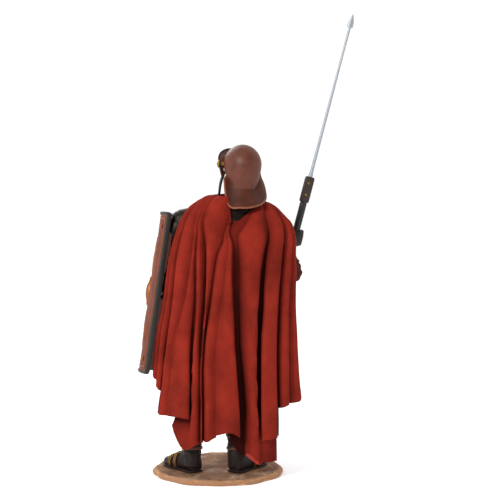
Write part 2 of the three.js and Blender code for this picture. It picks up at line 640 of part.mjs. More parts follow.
// A round brooch that holds the two free edges together under the throat.
function brooch() {
  const [left, right] = [cloakPoint(HEMS.length - 1, 1, 0.3), cloakPoint(0, 0, 0.3)];
  const middle = left.add(right).multiplyScalar(0.5);
  const profile = [[0, 0], [BROOCH_RADIUS, 0], [BROOCH_RADIUS, 0.8], [BROOCH_RADIUS * 0.75, 1.2],
    [BROOCH_RADIUS * 0.45, BROOCH_THICK * 0.7], [0, BROOCH_THICK]];
  const disc = new THREE.LatheGeometry(profile.map(([r, z]) => new THREE.Vector2(r, z)), 14);
  return { disc, middle };
}

// The shield in its own frame: +X out of its face, Y across it and Z up it.
const SHIELD_LEAN = rad(-6.9);
const SHIELD_YAW = rad(-12);
const SHIELD_TILT = rad(6); // its top away from the cloak
const SHIELD_SPOT = [45.7, -21.6, 156];
const shieldPlace = new THREE.Matrix4().makeTranslation(carved(...SHIELD_SPOT))
  .multiply(new THREE.Matrix4().makeRotationFromEuler(new THREE.Euler(0, SHIELD_LEAN, SHIELD_YAW, "YXZ")))
  .multiply(new THREE.Matrix4().makeRotationX(SHIELD_TILT));
const BOW = Math.asin(SHIELD_CHORD / 2 / SHIELD_BOW_RADIUS);
const SHIELD_ARC = 2 * BOW * SHIELD_BOW_RADIUS;
const BOW_BACK = SHIELD_BOW_RADIUS * Math.cos(BOW); // from the bow's axis to the chord
// A point on the board: `across` along its curve from the middle, `up` it, and `out` of its face.
const onShield = (across, up, out) => {
  const angle = across / SHIELD_BOW_RADIUS;
  const reach = SHIELD_BOW_RADIUS + out;
  return vec(reach * Math.cos(angle) - BOW_BACK, reach * Math.sin(angle), up);
};

// The outline of the board at a distance inside its edge.
function shieldOutline(inset) {
  const [half, high] = [SHIELD_ARC / 2 - inset, SHIELD_HEIGHT / 2 - inset];
  const corner = Math.max(SHIELD_CORNER - inset, GAP / 3);
  const outline = new THREE.Shape();
  outline.moveTo(-half + corner, -high);
  const runs = 12;
  for (let i = 1; i <= runs; i++) outline.lineTo(lerp(-half + corner, half - corner, i / runs), -high);
  outline.absarc(half - corner, -high + corner, corner, -HALF_TURN / 2, 0);
  outline.absarc(half - corner, high - corner, corner, 0, HALF_TURN / 2);
  for (let i = 1; i <= runs; i++) outline.lineTo(lerp(half - corner, -half + corner, i / runs), high);
  outline.absarc(-half + corner, high - corner, corner, HALF_TURN / 2, HALF_TURN);
  outline.absarc(-half + corner, -high + corner, corner, HALF_TURN, 1.5 * HALF_TURN);
  const points = outline.getPoints(2);
  return points.filter((p, i) => p.distanceTo(points[(i + 1) % points.length]) > 0.01);
}

function shieldRim() {
  const [outside, inside] = [shieldOutline(0), shieldOutline(RIM_WIDTH)];
  const [front, back] = [RIM_THICK / 2 - BOARD_THICK / 2, -RIM_THICK / 2 - BOARD_THICK / 2];
  return skin(outside.map((p, i) => {
    const q = inside[i];
    return [onShield(p.x, p.y, front), onShield(q.x, q.y, front), onShield(q.x, q.y, back),
      onShield(p.x, p.y, back)];
  }), true);
}

// Raised work on the face: a tapering spine, and four pairs of rays that leave the boss aslant.
const SPINE_HALF = 3.2;
const RAY_HALF = 2.4;
const RAYS = [[12, 50], [30, 44], [12, -50], [30, -44]];
function raised(path, halfWidth) {
  const rings = path.map(([across, up, share]) => {
    const w = Math.max(halfWidth * share, 0.25);
    return [onShield(across - w, up, -0.8), onShield(across + w, up, -0.8),
      onShield(across + w * 0.4, up, RELIEF_HEIGHT), onShield(across - w * 0.4, up, RELIEF_HEIGHT)];
  });
  return skin(rings);
}

function shieldBoard() {
  const [half, high] = [SHIELD_ARC / 2 - RIM_WIDTH - GAP, SHIELD_HEIGHT / 2 - RIM_WIDTH - GAP];
  const point = (u, v) => onShield(lerp(-half, half, u), lerp(-high, high, v), 0);
  return sheet(point, stops(12), stops(1), -BOARD_THICK);
}

function gripBar(grow) {
  const bar = new THREE.CylinderGeometry(GRIP_RADIUS + grow, GRIP_RADIUS + grow, GRIP_LENGTH, 8);
  return bar.translate(GRIP_X, 0, 0);
}
const GRIP_X = SHIELD_BOW_RADIUS - BOW_BACK - BOARD_THICK - 8;

function shieldFace() {
  const pieces = [shieldBoard()];
  const tall = SHIELD_HEIGHT / 2 - RIM_WIDTH - 8;
  pieces.push(raised([[0, -tall, 0], [0, 0, 1], [0, tall, 0]], SPINE_HALF));
  for (const side of [-1, 1])
    for (const [across, up] of RAYS)
      pieces.push(raised([[side * 4, up * 0.2, 1], [side * across, up, 0]], RAY_HALF));
  const post = (end) => {
    const reach = GRIP_X - BOARD_THICK;
    const leg = new THREE.CylinderGeometry(GRIP_RADIUS, GRIP_RADIUS * 1.3, 9, 6).rotateZ(-HALF_TURN / 2);
    return leg.translate(reach + 7, end * (GRIP_LENGTH / 2 - GRIP_RADIUS), 0);
  };
  return join([...pieces, gripBar(0), post(-1), post(1)]);
}

function shieldBoss() {
  const [r, flange, high] = [BOSS_RADIUS, BOSS_RADIUS + BOSS_FLANGE, BOSS_HEIGHT];
  const start = -3;
  const profile = [[0, start], [flange, start], [flange, 1.2], [r, 2], [r * 0.92, high * 0.5],
    [r * 0.66, high * 0.84], [0, high]];
  const dome = new THREE.LatheGeometry(profile.map(([x, y]) => new THREE.Vector2(x, y)), 16);
  dome.rotateZ(-HALF_TURN / 2).translate(SHIELD_BOW_RADIUS - BOW_BACK, 0, 0);
  const seat = SHIELD_BOW_RADIUS + RELIEF_HEIGHT + GAP;
  const under = new THREE.CylinderGeometry(seat, seat, 4 * flange, 60)
    .rotateX(HALF_TURN / 2).translate(-BOW_BACK, 0, 0);
  return solid(dome).subtract(solid(under));
}

const javelinPlace = new THREE.Matrix4()
  .makeTranslation(JAVELIN_FOOT[0] * SHARE, JAVELIN_FOOT[1] * SHARE, BASE_THICK + GAP)
  .multiply(new THREE.Matrix4().makeRotationY(JAVELIN_LEAN));
const SHAFT_LENGTH = (FIST_HEIGHT * SHARE) / Math.cos(JAVELIN_LEAN) + SHAFT_ABOVE_HAND;
const BUTT_LENGTH = 9;

// A turned piece along +Z from a profile of radius and height.
function turnedPiece(profile, sides) {
  const lathe = new THREE.LatheGeometry(profile.map(([r, z]) => new THREE.Vector2(r, z)), sides);
  return lathe.rotateX(HALF_TURN / 2);
}

function shaft(grow = 0) {
  const r = SHAFT_RADIUS + grow;
  return turnedPiece([[0, 0], [r * 0.45, BUTT_LENGTH * 0.25], [r, BUTT_LENGTH], [r, SHAFT_LENGTH],
    [0, SHAFT_LENGTH]], 10);
}

const RIVETS = [{ name: "lower", share: 0.3 }, { name: "upper", share: 0.75 }];
const rivetPin = (grow) => new THREE.CylinderGeometry(RIVET_RADIUS + grow, RIVET_RADIUS + grow,
  BLOCK_DEPTH + 2 * (RIVET_STAND + grow), 8);

function block() {
  const [w, d, c] = [BLOCK_WIDTH / 2, BLOCK_DEPTH / 2, 1];
  const loop = (inset, z) => [[w, d - c], [w - c, d], [c - w, d], [-w, d - c], [-w, c - d], [c - w, -d],
    [w - c, -d], [w, c - d]].map(([x, y]) => vec(x - Math.sign(x) * inset, y - Math.sign(y) * inset, z));
  const start = SHAFT_LENGTH + GAP;
  const wood = skin([loop(0.8, start), loop(0, start + 1.2), loop(0, start + BLOCK_LENGTH - 1.2),
    loop(0.8, start + BLOCK_LENGTH)]);
  return RIVETS.reduce((left, { share }) => {
    const hole = rivetPin(GAP).translate(0, 0, start + share * BLOCK_LENGTH);
    return left.subtract(solid(hole));
  }, solid(wood));
}

function iron() {
  const [start, end] = [SHAFT_LENGTH + BLOCK_LENGTH + 2 * GAP, JAVELIN_LENGTH];
  const neckEnd = end - POINT_LENGTH;
  return turnedPiece([[0, start], [SHANK_RADIUS * 1.6, start], [SHANK_RADIUS, start + 8],
    [SHANK_RADIUS * 0.85, neckEnd], [POINT_RADIUS, neckEnd + POINT_LENGTH * 0.35], [0, end]], 8);
}

// The figure is one casting, with the bars that its hands close on cut through its fists.
function figure() {
  const rightGrip = carved(...FIST);
  const leftGrip = vec(GRIP_X, 0, 0).applyMatrix4(shieldPlace);
  const barUp = vec(Math.sin(JAVELIN_LEAN), 0, Math.cos(JAVELIN_LEAN));
  const barAcross = vec(0, -1, 0).transformDirection(shieldPlace);
  const parts = [
    ...LEGS.flatMap(foot), ...LEGS.flatMap(leg), skirt(), armour(), ...belt(),
    ...SHOULDERS.map(shoulderGuard), ...ARMS.flatMap(arm), ...neck(), ...head(),
    ...fist(rightGrip, barUp, vec(0, 1, 0)), ...fist(leftGrip, barAcross, vec(-1, 0, 0)),
  ];
  const heldShaft = solid(shaft(GAP).applyMatrix4(javelinPlace));
  const heldBar = solid(gripBar(GAP).applyMatrix4(shieldPlace));
  return join(parts).subtract(heldShaft).subtract(heldBar);
}

const paint = (color, roughness = 0.7, metalness = 0) =>
  new THREE.MeshStandardMaterial({ color, roughness, metalness });
const EARTH = paint(0x9b7a61, 0.9);
const PEWTER = paint(0x5f5b58, 0.5, 0.4);
const LEATHER = paint(0x7a4235, 0.55);
const RED_CLOTH = paint(0x93321f, 0.8);
const BROWN_HIDE = paint(0x8a5345, 0.7);
const DARK_IRON = paint(0x3d3b36, 0.6, 0.3);
const BRASS = paint(0xa98a4c, 0.4, 0.8);
const DARK_WOOD = paint(0x2f2423, 0.75);
const BROWN_WOOD = paint(0x4b3425, 0.75);
const STEEL = paint(0xc4c8cc, 0.35, 0.9);

function named(name, made, material) {
  const geometry = made.isBufferGeometry ? made : geometryOf(made);
  const mesh = new THREE.Mesh(geometry, material);
  mesh.name = name;
  return mesh;
}

function shieldGroup() {
  const group = new THREE.Group();
  group.applyMatrix4(shieldPlace);
  group.add(named("shield_board", shieldFace(), BROWN_HIDE), named("shield_rim", shieldRim(), DARK_IRON));
  group.add(named("shield_boss", shieldBoss(), BRASS));
  return group;
}

function javelinGroup() {
  const group = new THREE.Group();
  group.applyMatrix4(javelinPlace);
  group.add(named("javelin_shaft", shaft(), DARK_WOOD), named("javelin_block", block(), BROWN_WOOD));
  group.add(named("javelin_iron", iron(), STEEL));
  for (const { name, share } of RIVETS) {
    const rivet = named(`javelin_rivet_${name}`, rivetPin(0), BRASS);
    rivet.position.z = SHAFT_LENGTH + GAP + share * BLOCK_LENGTH;
    group.add(rivet);
  }
  return group;
}

const soldier = new THREE.Group();
soldier.add(named("base", baseSlab(), EARTH));
soldier.add(named("figure", figure(), PEWTER));
soldier.add(named("helmet", helmet(), LEATHER));
soldier.add(named("cheek_guard_left", cheekGuard(1), LEATHER));
soldier.add(named("cheek_guard_right", cheekGuard(-1), LEATHER));
soldier.add(named("cloak", cloak(), RED_CLOTH));

const { disc, middle } = brooch();
const clasp = named("brooch", disc, BRASS);
clasp.position.copy(middle).add(vec(0, -CLOTH_THICK, 0));
clasp.rotation.x = HALF_TURN;
soldier.add(clasp);

soldier.add(shieldGroup(), javelinGroup());

export default soldier;
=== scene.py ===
import math

import bmesh
import bpy
import numpy as np
from bpy.props import FloatProperty, FloatVectorProperty, IntProperty, PointerProperty
from mathutils import Matrix, Vector


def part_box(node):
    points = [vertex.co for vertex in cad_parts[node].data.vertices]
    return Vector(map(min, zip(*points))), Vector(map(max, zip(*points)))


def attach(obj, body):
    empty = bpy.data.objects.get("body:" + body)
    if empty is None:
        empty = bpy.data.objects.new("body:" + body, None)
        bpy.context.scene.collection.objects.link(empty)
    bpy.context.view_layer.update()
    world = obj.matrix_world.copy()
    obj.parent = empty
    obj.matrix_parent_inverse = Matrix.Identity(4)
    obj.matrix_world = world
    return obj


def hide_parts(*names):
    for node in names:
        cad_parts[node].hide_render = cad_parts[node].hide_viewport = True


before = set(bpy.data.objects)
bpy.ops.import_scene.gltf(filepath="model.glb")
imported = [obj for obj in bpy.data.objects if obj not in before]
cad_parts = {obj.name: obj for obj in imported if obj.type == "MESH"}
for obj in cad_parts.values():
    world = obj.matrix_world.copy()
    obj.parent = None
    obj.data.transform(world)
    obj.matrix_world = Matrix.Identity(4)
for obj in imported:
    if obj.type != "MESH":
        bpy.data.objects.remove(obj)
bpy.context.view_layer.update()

bl_info = {
    "name": "Cloaked Foot Soldier Figurine",
    "version": (1, 0, 0),
    "blender": (4, 5, 0),
    "location": "View3D > Sidebar > Figurine",
    "description": "Dresses a cast and clothed figurine of a foot soldier with a shield and a javelin",
    "category": "Add Mesh",
}

# The figure is carved in millimetres above the slab's top, face to -Y and its left side to +X.
MM = 0.001
GAP = 0.3
SLAB_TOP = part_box("base")[1][2] / MM
LIFT = SLAB_TOP + GAP


def linear(code):
    """An sRGB hex colour as the linear colour that the shaders take."""
    values = [int(code[i:i + 2], 16) / 255 for i in (0, 2, 4)]
    return tuple(v / 12.92 if v <= 0.04045 else ((v + 0.055) / 1.055) ** 2.4 for v in values)


def colour(name, description, code):
    """A colour that a user can change."""
    return FloatVectorProperty(
        name=name, description=description, default=linear(code), subtype="COLOR",
        size=3, min=0, max=1)


def length(name, description, millimetres):
    """A size that a user can change."""
    return FloatProperty(name=name, description=description, default=millimetres * MM, unit="LENGTH")


class FigurineSizes(bpy.types.PropertyGroup):
    cloth_thick: length("Cloth", "Thickness of the stiffened cloth", 1.2)
    weave: length("Weave", "Distance between the threads that show", 0.7)
    plate: length("Plate", "Thickness of the armour's plates", 1.3)
    rolled_rim: length("Rolled rim", "Radius of the helmet's rolled rim", 0.9)
    stud: length("Stud", "Radius of a brass stud", 0.9)
    cloak_columns: IntProperty(
        name="Cloak columns", description="Columns of the cloak's mesh in each fold",
        default=18, min=4, max=40)
    cloak_rows: IntProperty(
        name="Cloak rows", description="Rows of the cloak's mesh from neck to hem",
        default=170, min=20, max=300)


class FigurineColours(bpy.types.PropertyGroup):
    cloak: colour("Cloak", "Madder red cotton", "7e2318")
    # The colour of the painted shade deep in the cloak's folds; it also tints its stains.
    cloak_fold_shade: colour("Cloak folds", "The same cloth deep in its folds", "2a0805")
    # The cloak's inner side: the same red cotton, painted brighter as where light falls on it from below at
    # the hem.
    lit_lining: colour("Lining", "The cloak's inner side", "c9483c")
    leather: colour("Helmet", "Brown saddle leather", "5a2a1a")
    tan: colour("Rolled edge", "Lighter rolled leather edge", "7a4229")
    boot: colour("Boots", "Dark boot leather", "1e1411")
    strap: colour("Straps", "Belt and strap leather", "40241a")
    pewter: colour("Armour", "Blackened pewter plates", "1f1a17")
    tunic: colour("Tunic", "Rust red wool", "592a21")
    skin: colour("Skin", "Painted flesh", "a06f56")
    brass: colour("Brass", "Rubbed brass", "8f7038")
    hide: colour("Shield", "Brown pink hide", "642c1d")
    gilt: colour("Gilding", "Orange gilt of the raised work", "7d4a24")
    iron: colour("Rim", "Grey green iron binding", "262522")
    dark_wood: colour("Shaft", "Near black stained ash", "181110")
    brown_wood: colour("Block", "Brown stained beech", "1c120c")
    steel: colour("Steel", "Bright steel", "a6abb0")
    earth: colour("Slab", "Sandy painted slab", "7d5a41")
    pale_earth: colour("Grit", "Whitish grit", "a08c78")
    floor: colour("Floor", "Plain pale floor", "fafafa")


# Forms: arrays of points, rings of points and closed skins over them.

def unit(v):
    return v / np.maximum(np.linalg.norm(v, axis=-1, keepdims=True), 1e-9)


def lerp(a, b, t):
    return a + (b - a) * t


def ease(a, b, x):
    t = np.clip((x - a) / (b - a), 0, 1)
    return t * t * (3 - 2 * t)


def smooth(rows, t):
    """Value t along a row of numbers, or of rows, on a smooth curve through them."""
    rows = np.asarray(rows, float)
    t = np.asarray(t, float)
    last = len(rows) - 1
    i = np.clip(np.floor(t).astype(int), 0, last - 1)
    f = np.clip(t - i, 0, 1)
    f = f.reshape(f.shape + (1,) * (rows.ndim - 1))
    a, b, c, d = (rows[np.clip(i + k, 0, last)] for k in (-1, 0, 1, 2))
    return b + 0.5 * f * (c - a + f * (2 * a - 5 * b + 4 * c - d + f * (3 * (b - c) + d - a)))


def smooth_columns(rows, t):
    """As smooth, with a row of numbers of its own for each column of t."""
    last = len(rows) - 1
    i = np.clip(np.floor(t).astype(int), 0, last - 1)
    f = np.clip(t - i, 0, 1)
    a, b, c, d = (np.take_along_axis(rows, np.clip(i + k, 0, last), 0) for k in (-1, 0, 1, 2))
    return b + 0.5 * f * (c - a + f * (2 * a - 5 * b + 4 * c - d + f * (3 * (b - c) + d - a)))


def value_noise(points, size, seed=0):
    """Smooth noise from -1 to 1 over points, with lumps about size across."""
    p = np.asarray(points, float) / size + 1000 + seed * 17.3
    cell = np.floor(p).astype(np.int64)
    f = p - cell
    f = f * f * (3 - 2 * f)
    total = np.zeros(p.shape[:-1])
    for corner in range(8):
        step = np.array([corner & 1, corner >> 1 & 1, corner >> 2 & 1])
        x, y, z = np.moveaxis(cell + step, -1, 0)
        h = (x * 374761393 + y * 668265263 + z * 2147483647 + seed * 1274126177) & 0xFFFFFFFF
        h = ((h ^ h >> 13) * 1274126177) & 0xFFFFFFFF
        value = ((h ^ h >> 16) & 0xFFFF) / 0x7FFF - 1
        total += value * np.prod(np.where(step, f, 1 - f), axis=-1)
    return total


def quads(rows, columns, round_columns=False, round_rows=False):
    """Faces of a grid of points, row after row."""
    r = np.arange(rows if round_rows else rows - 1)
    c = np.arange(columns if round_columns else columns - 1)
    r, c = (a.ravel() for a in np.meshgrid(r, c, indexing="ij"))
    r2, c2 = (r + 1) % rows, (c + 1) % columns
    corners = [r * columns + c, r * columns + c2, r2 * columns + c2, r2 * columns + c]
    return np.stack(corners, -1).tolist()


def skin(rings, looped=False):
    """A closed form over rings of points, with its ends closed or its last ring joined to its first."""
    rings = np.asarray(rings, float)
    count, sides = rings.shape[:2]
    faces = quads(count, sides, round_columns=True, round_rows=looped)
    if not looped:
        faces.append(list(range(sides))[::-1])
        faces.append([(count - 1) * sides + i for i in range(sides)])
    return rings.reshape(-1, 3), faces


def ring(centre, u, v, ru, rv, sides, square=2.0):
    """Points round an ellipse, or a squarer form of it, across the directions u and v."""
    angle = np.linspace(0, 2 * math.pi, sides, endpoint=False)[:, None]
    power = 2 / square
    c = np.sign(np.cos(angle)) * np.abs(np.cos(angle)) ** power
    s = np.sign(np.sin(angle)) * np.abs(np.sin(angle)) ** power
    return np.asarray(centre) + np.asarray(u) * ru * c + np.asarray(v) * rv * s


def limb(rows, across=(1, 0, 0), sides=20, steps=8, square=2.0, round_ends=False):
    """A limb along a smooth path. Each row is x, y, z and the half widths along across and over it."""
    rows = np.asarray(rows, float)
    t = np.linspace(0, len(rows) - 1, (len(rows) - 1) * steps + 1)
    path = smooth(rows, t)
    along = unit(smooth(rows, t + 0.05)[:, :3] - smooth(rows, t - 0.05)[:, :3])
    v = unit(np.cross(along, np.asarray(across, float)))
    u = unit(np.cross(v, along))
    rings = [ring(p[:3], uu, vv, p[3], p[4], sides, square) for p, uu, vv in zip(path, u, v)]
    if round_ends:
        for k, way in ((0, -1), (-1, 1)):
            p, uu, vv, aa = path[k], u[k], v[k], along[k]
            caps = []
            for turn in (35, 65, 85):
                a = math.radians(turn)
                reach = min(p[3], p[4]) * math.sin(a) * way
                caps.append(ring(p[:3] + aa * reach, uu, vv, p[3] * math.cos(a), p[4] * math.cos(a),
                                 sides, square))
            rings = caps[::-1] + rings if k == 0 else rings + caps
    return skin(rings)


def tube(path, radius, sides=8, closed=False):
    """A round tube along a list of points."""
    path = np.asarray(path, float)
    if closed:
        along = unit(np.roll(path, -1, 0) - np.roll(path, 1, 0))
    else:
        along = unit(np.gradient(path, axis=0))
    normal = np.cross(along[0], (0.3, 0.5, 0.8))
    rings = []
    for p, a in zip(path, along):
        normal = unit(normal - a * np.dot(normal, a))
        rings.append(ring(p, normal, np.cross(a, normal), radius, radius, sides))
    if closed:
        return shift_seam(rings)
    return skin(rings)


def shift_seam(rings):
    """A looped skin, with its last ring turned so that it meets the first without a twist."""
    rings = np.asarray(rings, float)
    first, last = rings[0], rings[-1]
    best = min(range(len(first)), key=lambda k: np.sum((np.roll(first, -k, 0) - last) ** 2))
    count, sides = rings.shape[:2]
    faces = quads(count, sides, round_columns=True)
    for i in range(sides):
        a, b = (count - 1) * sides + i, (count - 1) * sides + (i + 1) % sides
        faces.append([a, b, (i + 1 + best) % sides, (i + best) % sides])
    return rings.reshape(-1, 3), faces


def ball(centre, half, across=24, up=16, turn=None):
    """A ball stretched to three half widths."""
    polar = np.linspace(0.04, math.pi - 0.04, up)
    rings = []
    for p in polar:
        angle = np.linspace(0, 2 * math.pi, across, endpoint=False)
        rings.append(np.stack([math.sin(p) * np.cos(angle), math.sin(p) * np.sin(angle),
                               np.full(across, math.cos(p))], -1))
    points = np.array(rings) * half
    if turn is not None:
        points = points @ np.array(turn).T
    return skin(points + np.asarray(centre, float))


def normals_of(grid):
    """The direction out of a grid of points, at each point."""
    down = np.gradient(grid, axis=0)
    over = np.gradient(grid, axis=1)
    return unit(np.cross(over, down))


def sheet(outer, thick):
    """A closed sheet behind the outer grid; a negative thickness puts it on the other side. The
    thickness is one number, or one for each point."""
    inner = outer + normals_of(outer) * np.asarray(thick)[..., None]
    rows, columns = outer.shape[:2]
    faces = quads(rows, columns)
    far = rows * columns
    faces += [[far + i for i in face[::-1]] for face in faces]
    edge = [c for c in range(columns)]
    edge += [r * columns + columns - 1 for r in range(1, rows)]
    edge += [(rows - 1) * columns + c for c in range(columns - 2, -1, -1)]
    edge += [r * columns for r in range(rows - 2, 0, -1)]
    faces += [[b, a, far + a, far + b] for a, b in zip(edge, edge[1:] + edge[:1])]
    return np.concatenate([outer.reshape(-1, 3), inner.reshape(-1, 3)]), faces


def moved(form, matrix):
    """A form taken through a 4 by 4 matrix."""
    points, faces = form
    m = np.array(matrix)
    return points @ m[:3, :3].T + m[:3, 3], faces


def build(name, forms, materials, sharp=40):
    """One object of several forms. A form may be paired with the number of its material."""
    points, faces, numbers = [], [], []
    start = 0
    for form in forms:
        (p, f), number = form if isinstance(form[1], int) else (form, 0)
        points.append(p)
        faces += [[i + start for i in face] for face in f]
        numbers += [number] * len(f)
        start += len(p)
    world = (np.concatenate(points) + np.array([0, 0, LIFT])) * MM
    mesh = bpy.data.meshes.new(name)
    mesh.from_pydata(world.tolist(), [], faces)
    mesh.polygons.foreach_set("material_index", numbers)
    obj = bpy.data.objects.new(name, mesh)
    bpy.context.scene.collection.objects.link(obj)
    for material in materials:
        mesh.materials.append(material)
    tidy_mesh(obj, sharp)
    return obj


def tidy_mesh(obj, sharp):
    """Turns the faces outwards, shades them smooth and keeps the edges over the sharp angle."""
    work = bmesh.new()
    work.from_mesh(obj.data)
    bmesh.ops.recalc_face_normals(work, faces=work.faces)
    limit = math.radians(sharp)
    for face in work.faces:
        face.smooth = True
    for edge in work.edges:
        if len(edge.link_faces) == 2 and edge.calc_face_angle(0) > limit:
            edge.smooth = False
    work.to_mesh(obj.data)
    work.free()


def melt(obj, voxel, rounds=4, strength=0.5):
    """Melts the object's forms into one skin, as a casting is, and softens it."""
    remesh = obj.modifiers.new("melt", "REMESH")
    remesh.mode = "VOXEL"
    remesh.voxel_size = voxel * MM
    soften = obj.modifiers.new("soften", "SMOOTH")
    soften.factor = strength
    soften.iterations = rounds
    graph = bpy.context.evaluated_depsgraph_get()
    made = bpy.data.meshes.new_from_object(obj.evaluated_get(graph))
    obj.modifiers.clear()
    obj.data = made
    for face in made.polygons:
        face.use_smooth = True
    return obj


def points_of(obj):
    flat = np.zeros(len(obj.data.vertices) * 3)
    obj.data.vertices.foreach_get("co", flat)
    return flat.reshape(-1, 3)


def normals_at(obj):
    flat = np.zeros(len(obj.data.vertices) * 3)
    obj.data.vertices.foreach_get("normal", flat)
    return flat.reshape(-1, 3)


def displace(obj, amount):
    """Moves each point along its normal by amount, in millimetres."""
    moved_to = points_of(obj) + normals_at(obj) * np.asarray(amount)[:, None] * MM
    obj.data.vertices.foreach_set("co", moved_to.ravel())
    obj.data.update()


def mark(obj, name, values):
    """Stores a value for each point, which the materials read."""
    layer = obj.data.attributes.new(name, "FLOAT", "POINT")
    layer.data.foreach_set("value", np.asarray(values, np.float32))


def mark_hollows(obj, reach=6, gain=1.0):
    """Marks where the surface is hollow (towards 1) or stands proud (towards 0), for the painted shade in the
    hollows and the wear on the edges.
    """
    p, n = points_of(obj), normals_at(obj)
    pairs = np.zeros(len(obj.data.edges) * 2, np.int64)
    obj.data.edges.foreach_get("vertices", pairs)
    a, b = pairs.reshape(-1, 2).T
    count = np.maximum(np.bincount(a, minlength=len(p)) + np.bincount(b, minlength=len(p)), 1)

    def spread(values):
        out = np.zeros_like(values)
        np.add.at(out, a, values[b])
        np.add.at(out, b, values[a])
        return out / count.reshape((-1,) + (1,) * (values.ndim - 1))

    soft = p
    for _ in range(reach):
        soft = 0.5 * soft + 0.5 * spread(soft)
    dent = np.sum((soft - p) * n, -1) / MM
    dent = 0.5 * dent + 0.5 * spread(dent)
    mark(obj, "hollow", np.clip(0.5 + dent * gain, 0, 1))


def done(obj, slot, *nodes):
    """Puts a finished piece on the frame."""
    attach(obj, "root")
    if nodes:
        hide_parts(*nodes)
    return obj


# Materials. Each starts from what the real one is.

def add(tree, kind, values=None, links=None, stops=None, **settings):
    """One node with its settings, its sockets' values and what is linked into them."""
    node = tree.nodes.new(kind)
    for key, value in settings.items():
        setattr(node, key, value)
    for key, value in (values or {}).items():
        node.inputs[key].default_value = value
    for key, source in (links or {}).items():
        tree.links.new(source, node.inputs[key])
    if stops:
        elements = node.color_ramp.elements
        while len(elements) < len(stops):
            elements.new(1)
        for element, (place, shade) in zip(elements, stops):
            element.position = place
            element.color = (*shade, 1)
    return node


# Sockets of a colour Mix node, which share their names with its other kinds.
FACTOR, FIRST, SECOND, MIXED = 0, 6, 7, 2


def begin(name, roughness, metallic=0.0, sockets=None):
    """A new material with its shader; its constants are set on the shader's own sockets."""
    material = bpy.data.materials.new(name)
    material.use_nodes = True
    tree = material.node_tree
    tree.nodes.clear()
    values = {"Roughness": roughness, "Metallic": metallic, **(sockets or {})}
    shader = add(tree, "ShaderNodeBsdfPrincipled", values)
    add(tree, "ShaderNodeOutputMaterial", links={"Surface": shader.outputs["BSDF"]})
    place = add(tree, "ShaderNodeTexCoord").outputs["Object"]
    return material, tree, shader, place


def per(millimetres):
    """A texture's scale for lumps of that size."""
    return 1 / (millimetres * MM)


def shade(rgb, factor):
    return tuple(min(c * factor, 1) for c in rgb)


def blend(a, b, t):
    return tuple(lerp(x, y, t) for x, y in zip(a, b))


def wash_and_shade_hollows(tree, clean, dark, bright, low=0.42, high=0.66, rub=0.44):
    """Colour with a dark wash in the hollows, which also paints the shade that falls in them, and rubbed,
    lighter edges, from the marked hollows.
    """
    hollow = add(tree, "ShaderNodeAttribute", attribute_name="hollow").outputs["Fac"]
    into = add(tree, "ShaderNodeMapRange", {"From Min": 0.5, "From Max": high}, {"Value": hollow})
    proud = add(tree, "ShaderNodeMapRange", {"From Min": rub, "From Max": rub - 0.2}, {"Value": hollow})
    hollow_shaded = add(tree, "ShaderNodeMix", {SECOND: (*dark, 1)},
                  {FACTOR: into.outputs[0], FIRST: clean}, data_type="RGBA")
    rubbed = add(tree, "ShaderNodeMix", {SECOND: (*bright, 1)},
                 {FACTOR: proud.outputs[0], FIRST: hollow_shaded.outputs[MIXED]}, data_type="RGBA")
    return rubbed.outputs[MIXED]


